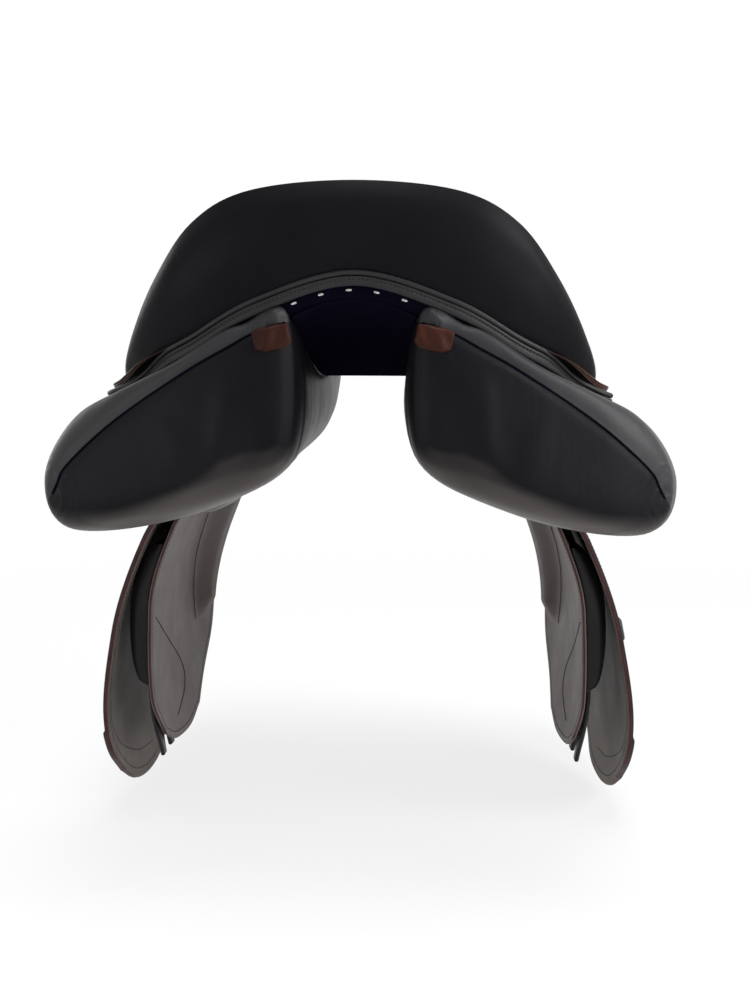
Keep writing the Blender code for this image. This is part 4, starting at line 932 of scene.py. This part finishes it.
# Stuffed panels with a gusset seam drawn into them.
def addPanels():
    mesh = panelBody()
    surface = BVHTree.FromBMesh(mesh)
    path, normals = [], []
    for point in even(samples([(x, 0.0, z) for x, z in panel["seam"]], 120), 0.0016):
        hit, normal, _, _ = surface.ray_cast(Vector((point[0], -0.5, point[2])), Vector((0.0, 1.0, 0.0)))
        if hit:
            path.append(hit)
            normals.append(normal if normal[1] < 0.0 else -normal)
    finder = KDTree(len(path))
    for i, point in enumerate(path):
        finder.insert(point, i)
    finder.balance()
    moves = []
    for vertex in mesh.verts:
        distance = finder.find(vertex.co)[2]
        if distance < 4.0 * panel["seamWidth"]:
            pull = panel["seamDepth"] * math.exp(-(distance / panel["seamWidth"]) ** 2)
            moves.append((vertex, vertex.normal * -pull))
    for vertex, move in moves:
        vertex.co += move
    mesh.normal_update()
    above, below = mesh.verts.layers.float.new("sheenAboveSeam"), mesh.verts.layers.float.new("below")
    for vertex in mesh.verts:
        # Height above the seam, for the painted sheen on the band above it
        vertex[above] = seamHeight(path, vertex.co)
        # How far the face looks down, for a tone that is partly underside wear and partly painted light from
        # the floor
        vertex[below] = -vertex.normal[2] if vertex.co[1] < -0.10 else 0.0
    surface = BVHTree.FromBMesh(mesh)
    sunk = []
    for point, normal in zip(path, normals):
        hit = surface.ray_cast(point + normal * 0.01, -normal)[0]
        sunk.append((hit if hit else point) + normal * 0.0003)
    thread = tube(sunk, panel["seamThread"], 6, normals=normals)
    for obj in addSides("panel_skin", mesh, [leathers["panel"]], "saddle", "panel"):
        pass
    addSides("panel_seam", thread, [leathers["channel"]], "saddle")


flaps = {
    "thickness": 0.0045, "sweatThickness": 0.0032, "skirtThickness": 0.003, "skirtGap": 0.0006,
    "frontInboard": 0.014, "curl": 0.015, "join": -0.140,
    "step": 0.0020, "stepShare": 0.79, "stepWidth": 0.012,
    "profile": [(0.0, 0.098), (0.020, 0.112), (0.080, 0.153), (0.135, 0.189), (0.220, 0.219), (0.314, 0.233),
                (0.395, 0.223)],
    "sweatProfile": [(0.0, 0.083), (0.035, 0.103), (0.090, 0.139), (0.125, 0.165), (0.198, 0.187),
                     (0.280, 0.190), (0.360, 0.179)],
}


# Distance from the middle of a surface that hangs from the bend line.
def shaped(profile, y, z):
    top = bendLine(y)[2]
    level, share = z, 0.0
    if z > flaps["join"]:
        share = (z - flaps["join"]) / (top - flaps["join"])
        level = flaps["join"] * (1.0 - share)
    inboard = flaps["frontInboard"] * ease((y - 0.150) / 0.110)
    inboard += flaps["curl"] * ease((y - 0.020) / 0.180) * ease((-0.200 - z) / 0.110)
    shift = (bendLine(y)[0] - flaps["profile"][0][1]) * share - inboard * (1.0 - share)
    return along(profile, -level) + shift


# Outer face of the flap.
def flapX(y, z):
    return shaped(flaps["profile"], y, z)


# Outer face of the sweat flap.
def sweatX(y, z):
    return shaped(flaps["sweatProfile"], y, z)


# Outward normal of a surface that gives x from y and z.
def faceNormal(surface, y, z):
    step = 0.002
    slopeY = (surface(y + step, z) - surface(y - step, z)) / (2.0 * step)
    slopeZ = (surface(y, z + step) - surface(y, z - step)) / (2.0 * step)
    return Vector((1.0, -slopeY, -slopeZ)).normalized()


outlines = {
    "flap": ([(-0.004, -0.006), (0.046, 0.0075), (0.052, -0.020), (0.105, -0.009), (0.155, 0.001),
              (0.161, 0.0315), (0.199, 0.039)],
             [(0.024, -0.365), (0.054, -0.380), (0.090, -0.385), (0.128, -0.379), (0.160, -0.360)],
             [(-0.004, -0.006), (-0.036, -0.044), (-0.057, -0.090), (-0.061, -0.145), (-0.053, -0.215),
              (-0.034, -0.285), (-0.010, -0.335), (0.024, -0.365)],
             [(0.199, 0.039), (0.214, 0.010), (0.240, -0.030), (0.268, -0.075), (0.285, -0.130),
              (0.282, -0.195), (0.245, -0.280), (0.160, -0.360)]),
    "sweat": ([(-0.012, -0.026), (0.060, -0.015), (0.140, -0.003), (0.202, 0.008)],
              [(0.006, -0.325), (0.040, -0.338), (0.088, -0.340), (0.128, -0.328)],
              [(-0.012, -0.026), (-0.036, -0.064), (-0.048, -0.110), (-0.051, -0.165), (-0.045, -0.230),
               (-0.030, -0.283), (0.006, -0.325)],
              [(0.202, 0.008), (0.226, -0.040), (0.247, -0.090), (0.255, -0.145), (0.246, -0.200),
               (0.208, -0.263), (0.128, -0.328)]),
    "skirt": ([(0.014, 0.0043), (0.070, 0.016), (0.140, 0.030), (0.200, 0.0432)],
              [(0.002, -0.016), (0.040, -0.037), (0.090, -0.043), (0.140, -0.030), (0.180, -0.004),
               (0.202, 0.026)],
              [(0.014, 0.0043), (0.006, -0.006), (0.002, -0.016)],
              [(0.200, 0.0432), (0.205, 0.036), (0.202, 0.026)]),
    "knee": ([(0.172, -0.060), (0.226, -0.066)], [(0.166, -0.240), (0.192, -0.246)],
             [(0.172, -0.060), (0.180, -0.150), (0.166, -0.240)],
             [(0.226, -0.066), (0.236, -0.140), (0.192, -0.246)]),
    "thigh": ([(-0.048, -0.144), (-0.026, -0.141)], [(-0.033, -0.268), (-0.020, -0.274)],
              [(-0.048, -0.144), (-0.046, -0.208), (-0.033, -0.268)],
              [(-0.026, -0.141), (-0.022, -0.208), (-0.020, -0.274)]),
    "leg": ([(0.176, -0.112), (0.236, -0.118)], [(0.160, -0.252), (0.186, -0.256)],
            [(0.176, -0.112), (0.176, -0.180), (0.160, -0.252)],
            [(0.236, -0.118), (0.228, -0.185), (0.186, -0.256)]),
}


# Points with a zero third value.
def inPlane(points):
    return [(a, b, 0.0) for a, b in points]


# Grid of (y, z) places inside four boundary curves, blended from all four.
def patch(outline, columns, rows):
    top, bottom, rear, front = [inPlane(side) for side in outline]
    corners = (onSpline(top, 0.0), onSpline(top, len(top) - 1.0),
               onSpline(bottom, 0.0), onSpline(bottom, len(bottom) - 1.0))
    grid = []
    for i in range(columns + 1):
        u = i / columns
        row = []
        for k in range(rows + 1):
            v = k / rows
            edges = (onSpline(top, u * (len(top) - 1)) * (1.0 - v)
                     + onSpline(bottom, u * (len(bottom) - 1)) * v
                     + onSpline(rear, v * (len(rear) - 1)) * (1.0 - u)
                     + onSpline(front, v * (len(front) - 1)) * u)
            blend = (corners[0] * ((1.0 - u) * (1.0 - v)) + corners[1] * (u * (1.0 - v))
                     + corners[2] * ((1.0 - u) * v) + corners[3] * (u * v))
            row.append(edges - blend)
        grid.append(row)
    return grid


# Grids at two distances from a surface; the distances may be functions of the grid's shares.
def sheetOn(surface, places, near, far):
    rows, columns = len(places) - 1, len(places[0]) - 1
    upper, lower = [], []
    for i, line in enumerate(places):
        over, under = [], []
        for k, place in enumerate(line):
            y, z = place[0], place[1]
            base = Vector((surface(y, z), y, z))
            normal = faceNormal(surface, y, z)
            u, v = i / rows, k / columns
            over.append(base + normal * (far(u, v) if callable(far) else far))
            under.append(base + normal * (near(u, v) if callable(near) else near))
        upper.append(over)
        lower.append(under)
    return upper, lower


# Points and normals of a smooth line of (y, z) places, at a distance from a surface.
def onFace(surface, route, offset, count=160):
    points, normals = [], []
    for place in samples(inPlane(route), count):
        normal = faceNormal(surface, place[0], place[1])
        points.append(Vector((surface(place[0], place[1]), place[0], place[1])) + normal * offset)
        normals.append(normal if offset >= 0.0 else -normal)
    return points, normals


# Line of (y, z) places round an outline's rear, bottom and front.
def hem(outline):
    bottom, rear, front = [inPlane(side) for side in outline[1:]]
    return samples(rear, 30) + samples(bottom, 20)[1:] + samples(front, 30)[-2::-1]


# Line of (y, z) places moved sideways.
def inset(line, distance):
    moved = []
    for before, point, after in zip([line[0], *line], line, [*line[1:], line[-1]]):
        run = after - before
        moved.append((point + Vector((-run[1], run[0], 0.0)).normalized() * distance)[:2])
    return moved


sewing = {
    "flapInset": 0.0065, "sweatInset": 0.0050, "skirtInset": 0.0040, "proud": 0.0001, "shadeCord": 0.00055,
    "blockSeam": [(-0.028, -0.210), (0.010, -0.229), (0.050, -0.250), (0.085, -0.273), (0.096, -0.290),
                  (0.090, -0.304), (0.072, -0.315), (0.056, -0.3215)],
    "liningArc": [(-0.021, -0.286), (-0.012, -0.310), (0.012, -0.334), (0.042, -0.350), (0.076, -0.361),
                  (0.112, -0.363)],
}


# Flap, sweat flap and skirt of each side with their stained edges, linings and stitches.
def addFlaps():
    def step(_, v):
        return flaps["step"] * ease((v - flaps["stepShare"]) / flaps["stepWidth"])

    deep = -flaps["thickness"]
    upper, lower = sheetOn(flapX, patch(outlines["flap"], 90, 120), deep, step)
    addSides("flap_leather", shell(upper, lower), [leathers["flap"], stains["burgundy"], leathers["lining"]],
             "flap", "flap")
    route = inset(hem(outlines["flap"]), sewing["flapInset"])[3:-3]
    rear = [p for p in route if p[1] > -0.285 and p[0] < 0.1]
    rows = [stitchRow(*onFace(flapX, rear, sewing["proud"], 300)),
            stitchRow(*onFace(flapX, route, deep - sewing["proud"], 500)),
            stitchRow(*onFace(flapX, sewing["liningArc"], deep - sewing["proud"], 300))]
    addSides("flap_stitches", joined(rows), [threads["black"]], "flap")

    deep = -flaps["sweatThickness"]
    upper, lower = sheetOn(sweatX, patch(outlines["sweat"], 80, 90), deep, 0.0)
    addSides("sweat_leather_flap", shell(upper, lower),
             [leathers["sweat"], stains["burgundy"], leathers["sweat"]], "saddle", "sweat_flap")
    route = inset(hem(outlines["sweat"]), sewing["sweatInset"])
    # Block seam on the sweat flap: black stitches over a black cord; the thread is real, and the cord is
    # painted shade of the stitched groove
    points, normals = onFace(sweatX, sewing["blockSeam"], deep - 2.0 * sewing["proud"], 240)
    rows = [stitchRow(*onFace(sweatX, route, deep - sewing["proud"], 420)),
            stitchRow(points, normals, 0.0030, 0.00055, 0.0004),
            tube(points, sewing["shadeCord"], 6, 0.6, normals)]
    addSides("sweat_stitches", joined(rows), [threads["black"]], "saddle")

    far = flaps["skirtGap"] + flaps["skirtThickness"]
    upper, lower = sheetOn(flapX, patch(outlines["skirt"], 60, 24), flaps["skirtGap"], far)
    addSides("skirt_leather", shell(upper, lower), [leathers["skirt"], stains["black"], leathers["dark"]],
             "skirt", "skirt")
    route = inset(samples(inPlane(outlines["skirt"][1]), 40), sewing["skirtInset"])
    row = stitchRow(*onFace(flapX, route, far + sewing["proud"], 240))
    addSides("skirt_stitches", row, [threads["black"]], "skirt")


blocks = {"knee": 0.0117, "thigh": 0.018, "leg": 0.0115, "gap": 0.0009, "edge": 0.004,
          "legEdge": 0.0006, "legGap": 0.0002, "crown": 0.4}


# Knee and thigh blocks outside the sweat flap and the panel's leg inside it.
def addBlocks():
    for name in ("knee", "thigh"):
        def crowned(u, v):
            across = max(0.0, 4.0 * u * (1.0 - u)) * max(0.0, 4.0 * v * (1.0 - v))
            return blocks["edge"] + (blocks[name] - blocks["edge"]) * across ** blocks["crown"]

        upper, lower = sheetOn(sweatX, patch(outlines[name], 24, 44), blocks["gap"], crowned)
        mesh = shell(upper, lower, False, 0, 0)
        for obj in addSides(name + "_pad", mesh, [leathers["skirt"]], "saddle", name + "_block"):
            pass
    outer = -flaps["sweatThickness"] - blocks["legGap"]

    def inner(u, v):
        full = ease((u - 0.12) / 0.6) * min(1.0, 8.0 * (1.0 - v))
        return outer - blocks["legEdge"] - (blocks["leg"] - blocks["legEdge"]) * full

    upper, lower = sheetOn(sweatX, patch(outlines["leg"], 28, 44), inner, outer)
    mesh = shell(upper, lower, False, 0, 0)
    for obj in addSides("leg_pad", mesh, [leathers["sweat"]], "saddle", "panel_leg"):
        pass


straps = {
    "width": 0.025, "thickness": 0.004, "standoff": 0.0035, "top": -0.026, "tip": -0.344,
    "places": {"front": 0.084, "middle": 0.048, "rear": 0.014}, "rounding": 0.025, "narrowing": 0.65,
    "holes": 12, "holeSpacing": 0.0127, "firstHole": 0.026, "stitchInset": 0.0028, "stitchTop": 0.006,
    "stitchEnd": 0.040,
}
eyelet = {"radius": 0.0019, "corners": 14,
          "rings": ((1.25, -0.0002), (1.12, 0.00035), (0.95, 0.0002), (0.55, -0.0002))}


# Punched hole drawn as a dished disc with a low rim, modelled round the origin and facing up; its black
# colour is painted shade inside the hole.
def eyeletData():
    (size, rise), *rest = eyelet["rings"]
    bpy.ops.object.select_all(action="DESELECT")
    bpy.ops.mesh.primitive_circle_add(vertices=eyelet["corners"], radius=eyelet["radius"] * size,
                                      fill_type="NGON", location=(0.0, 0.0, rise))
    obj = bpy.context.object
    bpy.ops.object.transform_apply(location=True, rotation=True, scale=True)
    bpy.ops.object.mode_set(mode="EDIT")
    bpy.ops.mesh.select_all(action="SELECT")
    for nextSize, nextRise in rest:
        bpy.ops.mesh.extrude_region_move(TRANSFORM_OT_translate={"value": (0.0, 0.0, nextRise - rise)})
        bpy.ops.transform.resize(value=(nextSize / size, nextSize / size, 1.0))
        size, rise = nextSize, nextRise
    bpy.ops.object.mode_set(mode="OBJECT")
    data = obj.data
    bpy.data.objects.remove(obj)
    return data


# Girth straps with rounded ends, stitched edges and rows of holes.
def addStraps():
    half, proud = 0.5 * straps["width"], straps["standoff"] + straps["thickness"]
    single = eyeletData()
    for name, middle in straps["places"].items():
        def spots(share, k):
            rise = math.sqrt(straps["rounding"] ** 2 - (share * half) ** 2)
            crest = straps["top"] - straps["rounding"] + rise
            z = crest + (straps["tip"] - crest) * k / 90.0
            y = middle + share * half * (1.0 - straps["narrowing"] * ease((k - 80.0) / 10.0))
            base, normal = Vector((sweatX(y, z), y, z)), faceNormal(sweatX, y, z)
            return base + normal * proud, base + normal * straps["standoff"]

        mesh = shell(*grids([-1.0 + k / 6.0 for k in range(13)], range(91), spots))
        addSides("strap_" + name, mesh, [leathers["strap"], stains["black"], leathers["strap"]],
                 "billet_" + name, "billet_" + name)
        rows, holes = [], bmesh.new()
        for side in (-1.0, 1.0):
            y = middle + side * (half - straps["stitchInset"])
            levels = (straps["top"] - straps["stitchTop"], 0.5 * (straps["top"] + straps["tip"]),
                      straps["tip"] + straps["stitchEnd"])
            rows.append(stitchRow(*onFace(sweatX, [(y, z) for z in levels], proud + sewing["proud"], 200)))
        for k in range(straps["holes"]):
            z = straps["tip"] + straps["firstHole"] + k * straps["holeSpacing"]
            normal = faceNormal(sweatX, middle, z)
            centre = Vector((sweatX(middle, z), middle, z)) + normal * (proud - 0.0001)
            across = normal.cross(Vector((0.0, 1.0, 0.0))).normalized()
            turn = Matrix((across.cross(normal), across, normal)).transposed()
            copy = single.copy()
            copy.transform(Matrix.Translation(centre) @ turn.to_4x4())
            holes.from_mesh(copy)
            bpy.data.meshes.remove(copy)
        addSides("strap_stitches_" + name, joined(rows), [threads["black"]], "billet_" + name)
        # Black discs in the holes: painted shade inside the punched holes
        addSides("strap_holes_" + name, holes, [stains["black"]], "billet_" + name)
    bpy.data.meshes.remove(single)


# Rear ends of the skirts, layered between the seat's edge and the panel.
def addTails():
    first, last = trim["tailPlaces"]
    places = [first + (last - first) * i / 60.0 for i in range(61)]
    root = trim["tailRoot"]

    def layerAt(place, layer):
        edge, outward = rearEdge(place)
        wide = trim["tailWide"] + (trim["tailNarrow"] - trim["tailWide"]) * ease((place - 5.0) / 2.5)
        nose = ease((place - first + 0.1) / trim["tailNose"])
        wide = 0.0006 + (wide - 0.0006 - 0.0007 * layer) * nose
        thick = max(0.0012, tailRoom(place) - 2.0 * trim["layerGap"]) / 3.0
        return lowered(edge, trim["layerGap"] + thick * layer), outward, wide, thick

    layers, row = [], []
    for layer in range(3):
        def spots(place, share):
            level, outward, wide, thick = layerAt(place, layer)
            reach = root + (wide - root) * share
            point = lowered(level + outward * reach, trim["tailSlope"] * max(reach, 0.0))
            return point, lowered(point, thick - 0.0001)

        layers.append(shell(*grids(places, (0.0, 0.3, 0.55, 0.8, 1.0), spots)))
    for place in places:
        level, outward, wide, _ = layerAt(place, 0)
        row.append(lowered(level + outward * (wide - 0.0025), trim["tailSlope"] * wide - 0.0002))
    addSides("tail_leather", joined(layers), [leathers["skirt"], stains["tan"], leathers["skirt"]], "saddle",
             "skirt_tail")
    row = stitchRow(row, [Vector((0.0, 0.0, 1.0))] * len(row))
    addSides("tail_stitches", row, [threads["grey"]], "saddle")


tab = {"wide": 0.0265, "high": 0.0170, "thick": 0.0045, "shiftIn": 0.0080, "shiftUp": 0.0050, "lean": 12.0,
       "corner": 0.42, "cornerStart": 0.55, "folds": (0.0007, 0.0005)}


# Folded red-brown tab with rounded lower corners at the inner top corner of each panel.
def addTabs():
    low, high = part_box("rear_tab_r")
    centre = (Vector(low) + Vector(high)) * 0.5 + Vector((-tab["shiftIn"], 0.0, tab["shiftUp"]))
    lean = Matrix.Rotation(math.radians(tab["lean"]), 3, "Y")
    depth = 0.5 * tab["thick"]

    def spots(u, v):
        start = tab["cornerStart"]
        rounding = tab["corner"] * max(0.0, abs(u) - start) ** 1.2 / (1.0 - start) ** 1.2
        height = v * (1.0 - rounding) if v < 0.0 else v * (1.0 - 0.35 * rounding)
        swell = (1.0 - abs(u) ** 5) ** 0.6 * (1.0 - abs(v) ** 5) ** 0.6
        fold = tab["folds"][0] * math.cos(4.2 * u - 1.0) + tab["folds"][1] * math.sin(6.0 * u + 3.0 * v)
        flat = centre + lean @ Vector((0.5 * tab["wide"] * u, 0.0, 0.5 * tab["high"] * height))
        return (flat - Vector((0.0, depth * (0.25 + 0.75 * swell) + fold * swell, 0.0)),
                flat + Vector((0.0, depth, 0.0)))

    mesh = shell(*grids([-1.0 + i / 12.0 for i in range(25)], [-1.0 + k / 9.0 for k in range(19)], spots),
                 False, 0, 0, 0.1)
    addSides("folded_tab", mesh, [leathers["tab"]], "saddle", "rear_tab")


# Gives a CAD node a material and, if asked, rounded edges.
def carried(node, material, bevel=0.0):
    obj = nodes[node]
    for slot in obj.material_slots:
        slot.material = material
    if bevel:
        modifier = obj.modifiers.new("rounding", "BEVEL")
        modifier.width = bevel
        modifier.segments = 2
        modifier.limit_method = "ANGLE"
        modifier.angle_limit = math.radians(35.0)


carriedLooks = {  # material and edge rounding of the CAD nodes that each side keeps
    "stirrup_bar": (solids["steel"], 0.0008), "bar_catch": (solids["steel"], 0.0008),
    "spring_rail": (solids["steel"], 0.0), "front_dee": (solids["steel"], 0.0),
    "billet_web_front": (solids["web"], 0.0), "billet_web_rear": (solids["web"], 0.0),
    "dee_chape": (leathers["skirt"], 0.0003), "flap_keeper": (leathers["flap"], 0.0006),
    "point_pocket": (leathers["dark"], 0.0005),
}


# Materials of the CAD nodes that stay.
def dressNodes():
    for node, name in (("tree_frame", "wood"), ("seat_web", "web"), ("gullet_plate", "steel")):
        carried(node, solids[name])
    for node, (material, bevel) in carriedLooks.items():
        for side in ("_l", "_r"):
            carried(node + side, material, bevel)


# Shows one shader to the camera, to glossy and to transmitted rays, and another to the rest.
def glowMix(add, plain, glow, share=None):
    path = add("LightPath", {})
    either = path.outputs["Is Camera Ray"]
    for kind in ("Is Glossy Ray", "Is Transmission Ray"):
        either = maths(add, "MAXIMUM", either, path.outputs[kind])
    if share:
        either = maths(add, "MULTIPLY", either, share)
    return add("MixShader", {"Fac": either, 1: plain, 2: glow}).outputs["Shader"]


# Object of some data, linked to the scene.
def linked(name, data, place):
    obj = bpy.data.objects.new(name, data)
    obj.location = place
    bpy.context.collection.objects.link(obj)
    return obj


# Pale floor that keeps the soft shadow and turns into the white surroundings further out.
def addFloor():
    low = min(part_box(name)[0][2] for name in ("flap_l", "flap_r"))
    mesh = bmesh.new()
    bmesh.ops.create_grid(mesh, x_segments=1, y_segments=1, size=studio["floorHalf"])
    data = bpy.data.meshes.new("floor")
    mesh.to_mesh(data)
    mesh.free()
    floor = linked("floor", data, (0.0, 0.0, low - studio["floorDrop"]))
    material, shader, add, coordinates = newMaterial("pale_floor")
    grey = (*[studio["floorColour"]] * 3, 1.0)
    feed(shader, {"Base Color": grey, "Roughness": 0.9, "Specular IOR Level": 0.0})
    away = add("VectorMath", {0: coordinates}, operation="LENGTH").outputs["Value"]
    fade = rangeOf(add, away, studio["floorGlow"], 1.0, studio["floorInner"], studio["floorRadius"])
    shown = glowMix(add, shader.outputs["BSDF"], add("Emission", {}).outputs["Emission"], fade)
    feed(material.node_tree.nodes["Material Output"], {"Surface": shown})
    data.materials.append(material)


# Soft lamps round the saddle and plain white surroundings.
def addLights():
    world = bpy.data.worlds.new("studio")
    bpy.context.scene.world = world
    world.use_nodes = True
    nodesOf = world.node_tree.nodes
    add = adder(world.node_tree)
    white = (1.0, 1.0, 1.0, 1.0)
    dim = feed(nodesOf["Background"], {"Color": white, "Strength": studio["worldStrength"]})
    bright = add("Background", {"Color": white})
    shown = glowMix(add, dim.outputs["Background"], bright.outputs["Background"])
    feed(nodesOf["World Output"], {"Surface": shown})
    for name, values in studio["lamps"].items():
        lamp = bpy.data.lights.new(name, "AREA")
        lamp.shape = "DISK"
        lamp.size = values["size"]
        lamp.energy = values["power"]
        obj = linked(name, lamp, values["place"])
        aim = Vector(studio["aim"]) - Vector(values["place"])
        obj.rotation_euler = aim.to_track_quat("-Z", "Y").to_euler()


# Camera at the photograph's place.
def addCamera():
    camera = bpy.data.cameras.new("camera")
    camera.lens = cameraView["lens"]
    camera.sensor_width = 36.0
    obj = linked("camera", camera, cameraView["place"])
    yaw, pitch, roll = (math.radians(cameraView[key]) for key in ("yaw", "pitch", "roll"))
    forward = Vector((-math.sin(yaw) * math.cos(pitch), math.cos(yaw) * math.cos(pitch), -math.sin(pitch)))
    turn = Matrix.Rotation(-roll, 3, forward) @ forward.to_track_quat("-Z", "Y").to_matrix()
    obj.rotation_euler = turn.to_euler()
    bpy.context.scene.camera = obj
    bpy.context.scene.view_settings.view_transform = "Standard"


addFloor()
addLights()
addCamera()
addSeat()
addFoam()
addTrim()
print("seat and trim made")
addGullet()
addPanels()
print("panels made")
addFlaps()
addBlocks()
addStraps()
print("flaps and straps made")
addTails()
addTabs()
dressNodes()
print("all pieces made")
